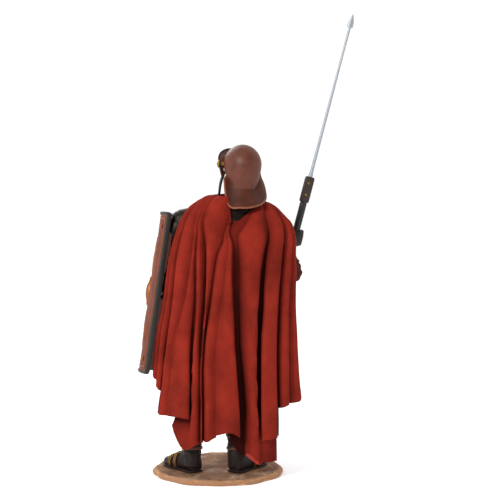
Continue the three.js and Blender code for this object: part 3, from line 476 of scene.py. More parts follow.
def dyed_cotton(name, base, deep, weave):
    """Cotton twill, dyed and stiffened with size: matt, a soft bloom at a glancing view, threads that show as
    a fine grain, and painted shade that darkens it deep in its folds."""
    material, tree, shader, place = begin(name, 0.82, sockets={
        "Sheen Weight": 0.02, "Sheen Roughness": 0.5, "Specular IOR Level": 0.06})
    shader.inputs["Sheen Tint"].default_value = (*base, 1)
    patches = add(tree, "ShaderNodeTexNoise", {"Scale": per(26), "Detail": 5, "Roughness": 0.6},
                  {"Vector": place})
    tone = add(tree, "ShaderNodeValToRGB", links={"Fac": patches.outputs["Fac"]},
               stops=[(0.3, shade(base, 0.72)), (0.5, base), (0.7, shade(base, 1.22))])
    down = add(tree, "ShaderNodeMapping", {"Scale": (1, 1, 0.3)}, {"Vector": place})
    stains = add(tree, "ShaderNodeTexNoise", {"Scale": per(19), "Detail": 4, "Roughness": 0.55},
                 {"Vector": down.outputs[0]})
    where = add(tree, "ShaderNodeMapRange", {"From Min": 0.5, "From Max": 0.74, "To Max": 0.5},
                {"Value": stains.outputs["Fac"]})
    clouded = add(tree, "ShaderNodeMix", {SECOND: (*blend(shade(base, 0.45), deep, 0.3), 1)},
                  {FACTOR: where.outputs[0], FIRST: tone.outputs["Color"]}, data_type="RGBA")
    grain = add(tree, "ShaderNodeTexNoise", {"Scale": per(1.6), "Detail": 3}, {"Vector": place})
    flecked = add(tree, "ShaderNodeMix", {FACTOR: 0.12}, {FIRST: clouded.outputs[MIXED],
                  SECOND: grain.outputs["Color"]}, data_type="RGBA", blend_type="SOFT_LIGHT")
    # Painted shade: the marked hollows, and on the cloak its valleys, darken the cloth towards the deep
    # colour in place of the shade that falls in the folds.
    hollow = add(tree, "ShaderNodeAttribute", attribute_name="hollow").outputs["Fac"]
    into = add(tree, "ShaderNodeMapRange", {"From Min": 0.06, "From Max": 0.9}, {"Value": hollow})
    hollow_shaded = add(tree, "ShaderNodeMix", {SECOND: (*deep, 1)},
                  {FACTOR: into.outputs[0], FIRST: flecked.outputs[MIXED]}, data_type="RGBA")
    tree.links.new(hollow_shaded.outputs[MIXED], shader.inputs["Base Color"])
    # Two sets of threads, drawn as coarse as they need to show at this distance.
    slant = add(tree, "ShaderNodeMapping", {"Rotation": (0, 0.6, 0.8)}, {"Vector": place})
    warp = add(tree, "ShaderNodeTexWave", {"Scale": per(weave / MM) / 20, "Distortion": 1.2,
               "Detail": 2, "Detail Scale": 3}, {"Vector": slant.outputs[0]}, bands_direction="DIAGONAL")
    weft = add(tree, "ShaderNodeTexWave", {"Scale": per(weave / MM) / 20, "Distortion": 1.4,
               "Detail": 2, "Detail Scale": 3}, {"Vector": place}, bands_direction="Z")
    threads = add(tree, "ShaderNodeMath", links={0: warp.outputs["Fac"], 1: weft.outputs["Fac"]},
                  operation="ADD")
    fuzz = add(tree, "ShaderNodeMath", links={0: threads.outputs[0], 1: grain.outputs["Fac"]},
               operation="ADD")
    bump = add(tree, "ShaderNodeBump", {"Strength": 0.35, "Distance": 0.12 * MM},
               {"Height": fuzz.outputs[0]})
    tree.links.new(bump.outputs[0], shader.inputs["Normal"])
    return material


def leather(name, base, roughness=0.42, pore=0.9, gloss=0.35):
    """Vegetable tanned hide, waxed: fine pores and creases, a broad soft sheen, and painted shade that
    darkens its hollows."""
    material, tree, shader, place = begin(name, roughness, sockets={
        "Coat Weight": gloss * 0.3, "Coat Roughness": 0.4, "Specular IOR Level": 0.1 + gloss * 0.6})
    cloud = add(tree, "ShaderNodeTexNoise", {"Scale": per(11), "Detail": 6, "Roughness": 0.62},
                {"Vector": place})
    tone = add(tree, "ShaderNodeValToRGB", links={"Fac": cloud.outputs["Fac"]},
               stops=[(0.28, shade(base, 0.62)), (0.5, base), (0.75, shade(base, 1.3))])
    paint = wash_and_shade_hollows(tree, tone.outputs["Color"], shade(base, 0.25), shade(base, 1.7))
    tree.links.new(paint, shader.inputs["Base Color"])
    pores = add(tree, "ShaderNodeTexVoronoi", {"Scale": per(pore)}, {"Vector": place},
                feature="DISTANCE_TO_EDGE")
    creased = add(tree, "ShaderNodeMath", {1: 2.5}, {0: pores.outputs["Distance"]},
                  operation="MULTIPLY", use_clamp=True)
    height = add(tree, "ShaderNodeMath", links={0: creased.outputs[0], 1: cloud.outputs["Fac"]},
                 operation="ADD")
    bump = add(tree, "ShaderNodeBump", {"Strength": 0.3, "Distance": 0.1 * MM},
               {"Height": height.outputs[0]})
    tree.links.new(bump.outputs[0], shader.inputs["Normal"])
    worn = add(tree, "ShaderNodeMapRange", {"To Min": roughness - 0.08, "To Max": roughness + 0.16},
               {"Value": cloud.outputs["Fac"]})
    tree.links.new(worn.outputs[0], shader.inputs["Roughness"])
    return material


def metal(name, base, roughness, dark=0.18, bright=1.5, mottle=0.4, metallic=0.9):
    """Cast or beaten metal: fine scratches, tarnish and painted shade in the hollows, and bare bright edges.
    """
    material, tree, shader, place = begin(name, roughness, metallic)
    cloud = add(tree, "ShaderNodeTexNoise", {"Scale": per(5), "Detail": 7, "Roughness": 0.7},
                {"Vector": place})
    tone = add(tree, "ShaderNodeValToRGB", links={"Fac": cloud.outputs["Fac"]},
               stops=[(0.3, shade(base, 1 - mottle)), (0.52, base), (0.75, shade(base, 1 + mottle * 0.6))])
    paint = wash_and_shade_hollows(tree, tone.outputs["Color"], shade(base, dark), shade(base, bright))
    tree.links.new(paint, shader.inputs["Base Color"])
    stretched = add(tree, "ShaderNodeMapping", {"Scale": (1, 1, 0.2)}, {"Vector": place})
    scratches = add(tree, "ShaderNodeTexNoise", {"Scale": per(0.6), "Detail": 3},
                    {"Vector": stretched.outputs[0]})
    bump = add(tree, "ShaderNodeBump", {"Strength": 0.25, "Distance": 0.06 * MM},
               {"Height": scratches.outputs["Fac"]})
    tree.links.new(bump.outputs[0], shader.inputs["Normal"])
    worn = add(tree, "ShaderNodeMapRange", {"To Min": roughness - 0.1, "To Max": roughness + 0.22},
               {"Value": cloud.outputs["Fac"]})
    tree.links.new(worn.outputs[0], shader.inputs["Roughness"])
    return material


def painted_flesh(name, base):
    """Oil colour over resin: satin, warm, with a dark wash in the hollows that also paints the shade there.
    """
    material, tree, shader, place = begin(name, 0.52, sockets={
        "Subsurface Weight": 0.06, "Specular IOR Level": 0.4})
    shader.inputs["Subsurface Radius"].default_value = (0.8 * MM, 0.35 * MM, 0.2 * MM)
    cloud = add(tree, "ShaderNodeTexNoise", {"Scale": per(7), "Detail": 4}, {"Vector": place})
    tone = add(tree, "ShaderNodeValToRGB", links={"Fac": cloud.outputs["Fac"]},
               stops=[(0.3, shade(base, 0.86)), (0.7, shade(base, 1.08))])
    paint = wash_and_shade_hollows(tree, tone.outputs["Color"], blend(shade(base, 0.4), (0.09, 0.03, 0.02), 0.5),
                 shade(base, 1.25))
    tree.links.new(paint, shader.inputs["Base Color"])
    brush = add(tree, "ShaderNodeTexNoise", {"Scale": per(0.8), "Detail": 2}, {"Vector": place})
    bump = add(tree, "ShaderNodeBump", {"Strength": 0.15, "Distance": 0.06 * MM},
               {"Height": brush.outputs["Fac"]})
    tree.links.new(bump.outputs[0], shader.inputs["Normal"])
    return material


def wood(name, base, ring_width=1.4):
    """Stained and waxed wood, turned or planed: long fine grain along the length."""
    material, tree, shader, place = begin(name, 0.5, sockets={"Specular IOR Level": 0.45})
    long = add(tree, "ShaderNodeMapping", {"Scale": (1, 1, 0.06), "Rotation": (0, 0.254, 0)},
               {"Vector": place})
    grain = add(tree, "ShaderNodeTexNoise", {"Scale": per(ring_width), "Detail": 6, "Roughness": 0.7},
                {"Vector": long.outputs[0]})
    tone = add(tree, "ShaderNodeValToRGB", links={"Fac": grain.outputs["Fac"]},
               stops=[(0.3, shade(base, 0.5)), (0.55, base), (0.75, shade(base, 1.6))])
    # Painted shade darkens the hollows; the proud edges are rubbed lighter.
    paint = wash_and_shade_hollows(tree, tone.outputs["Color"], shade(base, 0.3), shade(base, 2.2))
    tree.links.new(paint, shader.inputs["Base Color"])
    bump = add(tree, "ShaderNodeBump", {"Strength": 0.3, "Distance": 0.08 * MM},
               {"Height": grain.outputs["Fac"]})
    tree.links.new(bump.outputs[0], shader.inputs["Normal"])
    return material


def sandy_paint(name, base, pale):
    """Textured paint over a cast slab: matt sand with whitish grit and an orange tan edge."""
    material, tree, shader, place = begin(name, 0.9, sockets={"Specular IOR Level": 0.25})
    broad = add(tree, "ShaderNodeTexNoise", {"Scale": per(16), "Detail": 6, "Roughness": 0.65},
                {"Vector": place})
    tone = add(tree, "ShaderNodeValToRGB", links={"Fac": broad.outputs["Fac"]},
               stops=[(0.36, shade(base, 0.6)), (0.47, base), (0.56, shade(base, 1.2)), (0.66, pale)])
    grit = add(tree, "ShaderNodeTexNoise", {"Scale": per(2.4), "Detail": 3}, {"Vector": place})
    spots = add(tree, "ShaderNodeMapRange", {"From Min": 0.6, "From Max": 0.7, "To Max": 0.6},
                {"Value": grit.outputs["Fac"]})
    spotted = add(tree, "ShaderNodeMix", {SECOND: (*pale, 1)},
                  {FACTOR: spots.outputs[0], FIRST: tone.outputs["Color"]}, data_type="RGBA")
    edge = add(tree, "ShaderNodeAttribute", attribute_name="edge").outputs["Fac"]
    rimmed = add(tree, "ShaderNodeMix", {SECOND: (*linear("dcab7c"), 1)},
                 {FACTOR: edge, FIRST: spotted.outputs[MIXED]}, data_type="RGBA")
    # Painted shade darkens the hollows; the proud edges are rubbed lighter.
    paint = wash_and_shade_hollows(tree, rimmed.outputs[MIXED], shade(base, 0.45), shade(base, 1.7))
    tree.links.new(paint, shader.inputs["Base Color"])
    bump = add(tree, "ShaderNodeBump", {"Strength": 0.6, "Distance": 0.3 * MM},
               {"Height": grit.outputs["Fac"]})
    tree.links.new(bump.outputs[0], shader.inputs["Normal"])
    return material


_made = {}


def finish_named(name):
    """The material of that name, made once from the user's colours."""
    if name in _made:
        return _made[name]
    c = bpy.context.scene.figurine_colours
    s = bpy.context.scene.figurine_sizes
    makers = {
        "cloak": lambda: dyed_cotton("stiffened_cotton", c.cloak, c.cloak_fold_shade, s.weave),
        "lit_lining": lambda: dyed_cotton("lit_cotton_inner_side", c.lit_lining, c.cloak_fold_shade, s.weave),
        "tunic": lambda: dyed_cotton("rust_wool", c.tunic, shade(c.tunic, 0.3), s.weave),
        "scarf": lambda: dyed_cotton("brown_wool", shade(c.boot, 1.7), shade(c.boot, 0.5), s.weave),
        "helmet": lambda: leather("saddle_leather", c.leather, 0.44, gloss=0.3),
        "guard": lambda: leather("dark_saddle_leather", shade(c.leather, 0.66), 0.5, gloss=0.12),
        "tan": lambda: leather("tan_leather", c.tan, 0.46),
        "glove": lambda: leather("glove_leather", shade(c.pewter, 1.6), 0.5, pore=0.6, gloss=0.2),
        "boot": lambda: leather("boot_leather", c.boot, 0.5, gloss=0.12),
        "strap": lambda: leather("strap_leather", c.strap, 0.5, pore=0.7, gloss=0.2),
        "hide": lambda: leather("shield_hide", c.hide, 0.62, pore=1.3, gloss=0.1),
        "pewter": lambda: metal("blackened_pewter", c.pewter, 0.42, dark=0.12, bright=1.7),
        "brass": lambda: metal("rubbed_brass", c.brass, 0.36, dark=0.2, bright=1.4),
        "gilt": lambda: metal("orange_gilt", c.gilt, 0.45, dark=0.25, bright=1.5, metallic=0.55),
        "iron": lambda: metal("dull_iron", c.iron, 0.55, dark=0.3, bright=1.6, metallic=0.45),
        "steel": lambda: metal("bright_steel", c.steel, 0.5, dark=0.5, bright=1.05, mottle=0.05),
        "skin": lambda: painted_flesh("painted_flesh", c.skin),
        "dark_wood": lambda: wood("stained_ash", c.dark_wood),
        "brown_wood": lambda: wood("stained_beech", c.brown_wood),
        "earth": lambda: sandy_paint("sandy_slab", c.earth, c.pale_earth),
    }
    _made[name] = makers[name]()
    return _made[name]


# The slab.

def slab_ripple(angle):
    return (1 + 0.012 * np.sin(3 * angle) + 0.014 * np.sin(7 * angle)
            + 0.01 * np.sin(12 * angle + 1))


def make_slab():
    low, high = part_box("base")
    half = (Vector(high) - Vector(low)) / 2 / MM
    around, inward = 220, 60
    angle = np.linspace(0, 2 * math.pi, around, endpoint=False)
    reach = slab_ripple(angle) / 1.02
    thick, bevel = SLAB_TOP, 2.5
    rows = [(0.98, 0.0), (0.992, 0.12), (1.0, 0.45), (0.992, 0.7), (0.975, 0.88)]
    rows += [(1 - bevel / 61 - t * 0.9, 1.0) for t in np.linspace(0, 1.06, inward)]
    rings = []
    for share, height in rows:
        share = max(share, 0.004)
        x = half.x * share * reach * np.cos(angle)
        y = half.y * share * reach * np.sin(angle)
        rings.append(np.stack([x, y, np.full(around, thick * height)], -1))
    grid = np.array(rings)
    radius = np.hypot(grid[..., 0], grid[..., 1])
    top = grid[..., 2] > thick * 0.6
    grit = value_noise(grid, 7, 3) * 0.45 + value_noise(grid, 2.2, 4) * 0.3
    feet = ease(20, 46, radius)
    lower = np.where(top, np.clip(0.35 + grit, 0, 1.4) * lerp(0.25, 1, feet), 0)
    grid[..., 2] -= lower
    side = value_noise(grid, 5, 6) * 0.5
    outward = unit(grid * np.array([1, 1, 0]))
    grid[1:5] -= outward[1:5] * np.clip(side[1:5] + 0.4, 0, 0.9)[..., None]
    form = skin(grid - np.array([0, 0, LIFT]))
    slab = build("slab", [form], [finish_named("earth")], sharp=60)
    p = points_of(slab) / MM
    rim = np.hypot(p[:, 0] / half.x, p[:, 1] / half.y)
    mark(slab, "edge", ease(0.9, 0.97, rim) * 0.8)
    mark_hollows(slab, 5, 1.2)
    done(slab, "earth", "base")


# Legs and boots. Each leg gives its hip, knee and ankle, and its heel and toe on the slab.
LEGS = [
    dict(name="right", hip=(-16, 10, 150), knee=(-18, 13, 84), ankle=(-16.5, 21, 15),
         heel=(-14, 28), toe=(-40, -12)),
    dict(name="left", hip=(10, 10, 150), knee=(20, 4, 84), ankle=(23, 21, 15),
         heel=(18.5, 28), toe=(46.5, -8)),
]
BOOT_TOP = 62
# Along a foot from heel to toe: share of its length, half width, height.
FOOT = [
    [0, 4.5, 8], [0.06, 7, 15], [0.25, 7.6, 18], [0.45, 7.8, 15], [0.62, 8.6, 11.5],
    [0.8, 8.6, 9.5], [0.93, 7, 8.4], [1, 3.6, 5],
]
SOLE_THICK = 1.8


def foot_frame(leg):
    heel = np.array([*leg["heel"], 0.0])
    along = np.array([*leg["toe"], 0.0]) - heel
    side = unit(np.array([-along[1], along[0], 0.0]))
    return heel, along, side


def boot_upper(leg):
    heel, along, side = foot_frame(leg)
    rows = smooth(FOOT, np.linspace(0, len(FOOT) - 1, 40))
    up = np.array([0, 0, 1.0])
    rings = [ring(heel + along * s + up * h / 2, side, up, half, h / 2, 32, 2.6) for s, half, h in rows]
    return skin(rings)


def boot_sole(leg):
    heel, along, side = foot_frame(leg)
    rows = smooth(FOOT, np.linspace(0, len(FOOT) - 1, 40))
    rings = []
    for z, out in ((0, 0.2), (0.35, 0.7), (SOLE_THICK - 0.3, 0.8), (SOLE_THICK, 0.4)):
        left = [heel + along * s + side * (half + out) for s, half, _ in rows]
        right = [heel + along * s - side * (half + out) for s, half, _ in rows]
        rings.append(np.array(left + right[::-1]) + np.array([0, 0, z]))
    return skin(rings)


def leg_line(leg, z):
    """A point on the middle of the shin at a height, for the boot's shaft and its straps."""
    calf = smooth([leg["hip"], leg["knee"], leg["ankle"]], 1.35)
    ankle = np.array(leg["ankle"], float)
    t = (BOOT_TOP - z) / (BOOT_TOP - ankle[2])
    return np.array([lerp(calf[0], ankle[0], t), lerp(calf[1], ankle[1], t), z])


def band_round(leg, z, half, deep, width, thick, tilt=0.0):
    """A strap round the boot's shaft."""
    centre = leg_line(leg, z)
    rings = []
    for up, out in ((-width / 2, -0.8), (-width / 2, thick * 0.7), (-width / 2 + 0.35, thick),
                    (width / 2 - 0.35, thick), (width / 2, thick * 0.7), (width / 2, -0.8)):
        loop = ring(centre + np.array([0, 0, up]), (1, 0, 0), (0, 1, 0), half + out, deep + out, 40)
        loop[:, 2] += tilt * (loop[:, 1] - centre[1])
        rings.append(loop)
    return skin(rings)


def buckle(centre, out, up, size=2.4):
    """A small square frame with its tongue."""
    out, up = unit(np.asarray(out, float)), unit(np.asarray(up, float))
    side = np.cross(up, out)
    corners = [(-1, -1), (1, -1), (1, 1), (-1, 1)]
    loop = [np.asarray(centre) + side * a * size + up * b * size * 0.8 for a, b in corners]
    path = []
    for k in range(4):
        a, b = loop[k], loop[(k + 1) % 4]
        path += [lerp(a, b, t) for t in (0.08, 0.35, 0.65, 0.92)]
    tongue = tube([np.asarray(centre) + side * t * size + out * 0.3 for t in (-1, 0, 1)], 0.28, 6)
    return [tube(path, 0.42, 8, closed=True), tongue]


def make_legs():
    for leg in LEGS:
        name = leg["name"]
        hip, knee = np.array(leg["hip"], float), np.array(leg["knee"], float)
        calf = smooth([leg["hip"], leg["knee"], leg["ankle"]], 1.35)
        thigh = smooth([leg["hip"], leg["knee"], leg["ankle"]], 0.5)
        flesh = [limb([[*hip, 15, 16], [*thigh, 12.5, 13.5], [*knee, 8.8, 9.2], [*calf, 9, 9.8],
                       [*leg_line(leg, 54), 8, 9]], steps=10, sides=28)]
        flesh.append(ball(knee + np.array([0, -5.2, 0.5]), (5.0, 4.6, 6.2)))
        flesh.append(ball(knee + np.array([-3.2, 4.8, -10]), (4.0, 5.2, 13)))
        flesh.append(ball(knee + np.array([3.2, 4.8, -10]), (4.0, 5.2, 13)))
        bare = build(f"{name}_leg", flesh, [finish_named("skin")])
        melt(bare, 0.8, 6)
        mark_hollows(bare, 8, 0.9)
        done(bare, "figure_paint", "figure")

        shaft = limb([[*leg_line(leg, BOOT_TOP - 1), 10.9, 11.6], [*leg_line(leg, 48), 10.4, 11.4],
                      [*leg_line(leg, 28), 8.3, 9], [*leg_line(leg, 13), 7.8, 8.8],
                      [*leg_line(leg, 4), 7.4, 8]], steps=10, sides=32)
        heel, along, side = foot_frame(leg)
        ankle = np.array(leg["ankle"], float)
        lumps = [ball(ankle + side * 6.0 * way + np.array([0, 0, 1]), (3.4, 3.4, 3.6)) for way in (-1, 1)]
        instep = limb([[*(ankle + np.array([0, 0, 12])), 7, 7.5],
                       [*(heel + along * 0.3 + np.array([0, 0, 14])), 6.8, 6.5],
                       [*(heel + along * 0.55 + np.array([0, 0, 8])), 6.8, 5]], across=side, steps=8)
        boot = build(f"{name}_boot", [boot_upper(leg), shaft, instep, *lumps], [finish_named("boot")])
        melt(boot, 0.7, 8)
        p = points_of(boot) / MM - np.array([0, 0, LIFT])
        slouch = np.sin(p[:, 2] * 0.9 + value_noise(p, 14, 5) * 2.6) * ease(10, 24, p[:, 2])
        slouch *= ease(58, 40, p[:, 2]) * 0.3
        displace(boot, slouch + value_noise(p, 4, 2) * 0.12)
        mark_hollows(boot, 8, 1.2)
        done(boot, "figure_paint", "figure")

        sole = build(f"{name}_sole", [boot_sole(leg)], [finish_named("boot")])
        mark_hollows(sole)
        done(sole, "figure_paint", "figure")

        fittings = []
        straps = [band_round(leg, BOOT_TOP - 1.8, 11.1, 11.8, 5.4, 1.2)]
        for z, tilt in ((46, 0.05), (33, -0.06), (21, 0.1)):
            half = np.interp(z, [13, 28, 48], [7.9, 8.4, 10.5])
            straps.append(band_round(leg, z, half, half + 1.0, 2.4, 0.9, tilt))
        for share, high in ((0.5, 14.6), (0.66, 11.6)):
            heel_at = heel + along * share
            half = np.interp(share, [0.45, 0.62, 0.8], [7.8, 8.6, 8.6])
            loop = ring(heel_at + np.array([0, 0, high / 2]), side, (0, 0, 1), half + 0.3,
                        high / 2 + 0.5, 48, 2.5)
            push = unit(along)
            rings = [loop - push * 1.3, loop + (loop - heel_at - (0, 0, high / 2)) * 0.06 - push * 0.9,
                     loop + (loop - heel_at - (0, 0, high / 2)) * 0.06 + push * 0.9, loop + push * 1.3]
            rings = [np.maximum(r, [-999, -999, SOLE_THICK * 0.6]) for r in rings]
            straps.append(skin(rings))
            wide = loop + (loop - heel_at - (0, 0, high / 2)) * 0.08
            wide[:, 2] = np.maximum(wide[:, 2], SOLE_THICK + 0.6)
            fittings += [tube(wide + push * way, 0.42, 8, closed=True) for way in (-1.2, 1.2)]
        belts = build(f"{name}_boot_straps", straps, [finish_named("strap")])
        mark_hollows(belts, 3)
        done(belts, "figure_paint", "figure")

        outer = -1 if name == "right" else 1
        for z in (BOOT_TOP - 1.8, 46, 33, 21):
            half = np.interp(z, [13, 28, 48, 60], [7.9, 8.4, 10.5, 11.3]) + 1.3
            out = unit(np.array([outer * 0.9, 0.35, 0]))
            spot = leg_line(leg, z) + out * np.array([half, half + 1, 0]) + np.array([0, 0, 0])
            fittings += buckle(spot, out, (0, 0, 1), 1.9)
        metalwork = build(f"{name}_boot_buckles", fittings, [finish_named("brass")])
        mark_hollows(metalwork, 2)
        done(metalwork, "brass", "figure")


# The trunk by height: z, middle x, half width, half depth.
TRUNK_Y = 8.5
TRUNK = np.array([
    [150, -3, 28, 20], [166, -5.5, 25.5, 17.5], [178, -7, 24.5, 16.5], [192, -9.5, 27, 17.6],
    [207, -11.5, 30, 17.6], [220, -12.5, 30, 15.6], [230, -13.5, 25, 12.8], [238, -15, 14, 10.4],
])
TRUNK_SIDES = 160


def trunk_at(z):
    heights = TRUNK[:, 0]
    return smooth(TRUNK, np.interp(z, heights, np.arange(len(heights))))


def trunk_ring(z, swell, sides=TRUNK_SIDES):
    _, x, half, deep = trunk_at(z)
    angle = np.linspace(0, 2 * math.pi, sides, endpoint=False)
    swell = np.asarray(swell) + np.zeros(sides)
    return np.stack([x + (half + swell) * np.cos(angle), TRUNK_Y + (deep + swell) * np.sin(angle),
                     np.full(sides, float(z))], -1)


HOOPS = 5
HOOP_TOP = 208
HOOP_STEP = 6.6
FRONT = 1.5 * math.pi


def hoop(top, step, lap, thick):
    """One lapped hoop, parted by a narrow slot down the front."""
    angle = np.linspace(0, 2 * math.pi, TRUNK_SIDES, endpoint=False)
    slot = np.exp(-((angle - FRONT) / 0.018) ** 2) * (thick + 0.4)
    bottom = top - step
    rings = [trunk_ring(top + 0.6, -0.8), trunk_ring(top + 0.2, 0.1 - slot)]
    for t, out in ((0.12, 0.35), (0.5, 0.65), (0.85, lap), (0.97, lap + 0.05), (1.03, lap - 0.15)):
        rings.append(trunk_ring(lerp(top, bottom, t), out - slot))
    rings.append(trunk_ring(bottom - 0.3, -0.8))
    return skin(rings)


def make_armour():
    plate = bpy.context.scene.figurine_sizes.plate / MM
    forms = []
    for i in range(HOOPS):
        forms.append(hoop(HOOP_TOP - i * HOOP_STEP, HOOP_STEP + 0.6, 1.5, plate))
    angle = np.linspace(0, 2 * math.pi, TRUNK_SIDES, endpoint=False)
    slot = np.exp(-((angle - FRONT) / 0.018) ** 2) * 1.4
    front = np.clip(-np.sin(angle), 0, 1)
    lap_line = np.exp(-((np.abs(angle - FRONT) - 0.5) / 0.02) ** 2) * 0.5
    chest = [trunk_ring(HOOP_TOP - 1.2, -0.6), trunk_ring(HOOP_TOP - 1.0, 1.9 - slot)]
    for z, out in ((210, 2.2), (214, 2.3), (218, 1.9), (218.3, 1.2), (218.8, 1.9), (223, 1.8),
                   (227, 1.4), (231, 0.9), (235, 0.4), (238, -0.5)):
        chest.append(trunk_ring(z, out + 0.7 * front - slot - lap_line))
    forms.append(skin(chest))
    plates = build("armour_plates", forms, [finish_named("pewter")], sharp=32)
    mark_hollows(plates, 4, 1.0)
    done(plates, "figure_paint", "figure")

    fittings = []
    stud = bpy.context.scene.figurine_sizes.stud / MM
    for i in range(HOOPS):
        z = HOOP_TOP - i * HOOP_STEP - HOOP_STEP * 0.5
        _, x, half, deep = trunk_at(z)
        for side in (-1, 1):
            spot = np.array([x + side * 3.6, TRUNK_Y - deep - 1.5, z])
            fittings.append(ball(spot, (1.3, 0.9, 1.3), 12, 8))
            tie = [spot, spot + np.array([-side * 1.8, -0.7, 0.5]), spot + np.array([-side * 3.6, -0.6, 0])]
            fittings.append(tube(smooth(tie, np.linspace(0, 2, 8)), 0.45, 6))
            for turn in (0.55, 1.1):
                around = FRONT + side * turn
                rivet = np.array([x + (half + 1.3) * math.cos(around),
                                  TRUNK_Y + (deep + 1.3) * math.sin(around), z + 1])
                fittings.append(ball(rivet, (stud * 0.75,) * 3, 10, 6))
    for side in (-1, 1):
        _, x, half, deep = trunk_at(214)
        for z, turn in ((213.5, 0.3), (213.5, 0.68), (224, 0.3), (224, 0.66)):
            row = trunk_at(z)
            around = FRONT + side * turn
            spot = np.array([row[1] + (row[2] + 2.6) * math.cos(around),
                             TRUNK_Y + (row[3] + 2.6) * math.sin(around), z])
            fittings.append(ball(spot, (1.2, 1.2, 1.2), 12, 8))
        row = trunk_at(214)
        spot = np.array([row[1] + side * 2.6, TRUNK_Y - row[3] - 2.6, 214])
        fittings += buckle(spot, (0, -1, 0), (0, 0, 1), 1.9)
    ties = build("armour_fittings", fittings, [finish_named("brass")])
    mark_hollows(ties, 2)
    done(ties, "brass", "figure")


HEM_Z = 100
WAIST_Z = 176
PLEATS = 22


def make_tunic():
    sides, levels = 360, 60
    rows = np.array([[WAIST_Z, 0, -6.5, 23.5, 16], [156, 0.4, -4, 28, 20.5], [128, 1.0, -2, 31, 23],
                     [HEM_Z, 1.7, -0.5, 34, 25]])
    angle = np.linspace(0, 2 * math.pi, sides, endpoint=False)
    rings = []
    for t in np.linspace(0, 3, levels):
        z, pleat, x, half, deep = smooth(rows, t)
        sway = 0.5 * np.sin(3 * angle + t) + 0.35 * np.sin(5 * angle + 2 + 0.6 * t)
        wave = np.sin(PLEATS / 2 * (angle + 0.09 * sway) * 2)
        out = pleat * np.where(wave > 0, wave ** 0.7, -np.abs(wave) ** 1.4)
        hem = 0.9 * np.sin(5 * angle + 1) * t / 3
        rings.append(np.stack([x + (half + out) * np.cos(angle), TRUNK_Y + (deep + out) * np.sin(angle),
                               z + hem], -1))
    outer = np.array(rings)
    under = []
    for z, inset in ((HEM_Z - 0.5, 1.0), (HEM_Z + 1, 1.6), (HEM_Z + 18, 4.0)):
        line = outer[-1].copy()
        centre = np.array([-0.5, TRUNK_Y, 0])
        away = unit((line - centre) * np.array([1, 1, 0]))
        line = line - away * inset
        line[:, 2] += z - HEM_Z
        under.append(line)
    skirt = build("tunic_skirt", [skin(np.concatenate([outer, np.array(under)]))],
                  [finish_named("tunic")], sharp=70)
    mark_hollows(skirt, 6, 0.8)
    done(skirt, "figure_paint", "figure")


BELT_TOP = 177
BELT_BOTTOM = 169
STRAPS = 4
STRAP_WIDTH = 4.6
STRAP_END = 124


def make_belt():
    stud = bpy.context.scene.figurine_sizes.stud / MM
    band = skin([trunk_ring(BELT_BOTTOM - 0.6, 0.2), trunk_ring(BELT_BOTTOM, 1.9),
                 trunk_ring(BELT_BOTTOM + 0.5, 2.3), trunk_ring(BELT_TOP - 0.5, 2.3),
                 trunk_ring(BELT_TOP, 1.9), trunk_ring(BELT_TOP + 0.6, 0.2)])
    forms, brass = [band], []
    for i in range(STRAPS):
        x = -7 + (i - (STRAPS - 1) / 2) * (STRAP_WIDTH + 1)
        spread = 1 + (x + 7) * 0.05
        rows = [[x, TRUNK_Y - 18.2, BELT_BOTTOM + 3, STRAP_WIDTH / 2, 0.8],
                [x + spread, TRUNK_Y - 22.4, 150, STRAP_WIDTH / 2, 0.8],
                [x + spread * 2, TRUNK_Y - 25.8, STRAP_END + 2, STRAP_WIDTH / 2, 0.8]]
        forms.append(limb(rows, sides=20, steps=12, square=5))
        for t in np.linspace(0.22, 1.82, 6):
            row = smooth(rows, t)
            dot = (stud * 1.15, stud * 0.8, stud * 1.15)
            brass.append(ball(row[:3] + np.array([0, -0.8, 0]), dot, 14, 8))
        end = smooth(rows, 2.0)[:3]
        brass.append(limb([[*(end + np.array([0, -0.1, 1.6])), STRAP_WIDTH / 2 + 0.2, 1.0],
                           [*(end + np.array([0, -0.3, -1.6])), STRAP_WIDTH / 2 + 0.1, 1.0],
                           [*(end + np.array([0, -0.4, -4.2])), 0.7, 0.8]], sides=16, square=3))
    belt = build("belt", forms, [finish_named("strap")])
    mark_hollows(belt, 3)
    done(belt, "figure_paint", "figure")

    middle = (BELT_TOP + BELT_BOTTOM) / 2
    _, x, half, deep = trunk_at(middle)
    plates = 14
    for k in range(plates):
        around = FRONT + (k + 0.5 - plates / 2) * 0.3
        if abs(around - FRONT) < 0.1:
            continue
        out = np.array([math.cos(around) * deep, math.sin(around) * half, 0])
        out = unit(out)
        spot = np.array([x + (half + 2.3) * math.cos(around), TRUNK_Y + (deep + 2.3) * math.sin(around),
                         middle])
        side = np.cross((0, 0, 1), out)
        rings = [ring(spot + out * o, side, (0, 0, 1), w, w * 1.05, 24, 4)
                 for o, w in ((-0.6, 2.9), (0.15, 2.9), (0.5, 2.6), (0.5, 1.9), (0.2, 1.5), (0.75, 0.7))]
        brass.append(skin(rings))
    front = np.array([x, TRUNK_Y - deep - 2.7, middle])
    brass += buckle(front, (0, -1, 0), (0, 0, 1), 3.4)
    fittings = build("belt_fittings", brass, [finish_named("brass")])
    mark_hollows(fittings, 2)
    done(fittings, "brass", "figure")


# Shoulder guards: lapped plates on a path from beside the neck out over the shoulder.
SHOULDERS = [
    dict(name="right", path=[[-24, 7, 226, 9, 7], [-36, 7, 222.5, 11, 9], [-50, 6, 216, 12, 10.5],
                             [-57, 5, 208, 10.5, 8]]),
    dict(name="left", path=[[0, 7, 227, 9, 8], [14, 3, 225.5, 10.5, 10], [30, -1.5, 222, 11, 13.2],
                            [41, -2, 213, 10, 9]]),
]
GUARD_PLATES = 4


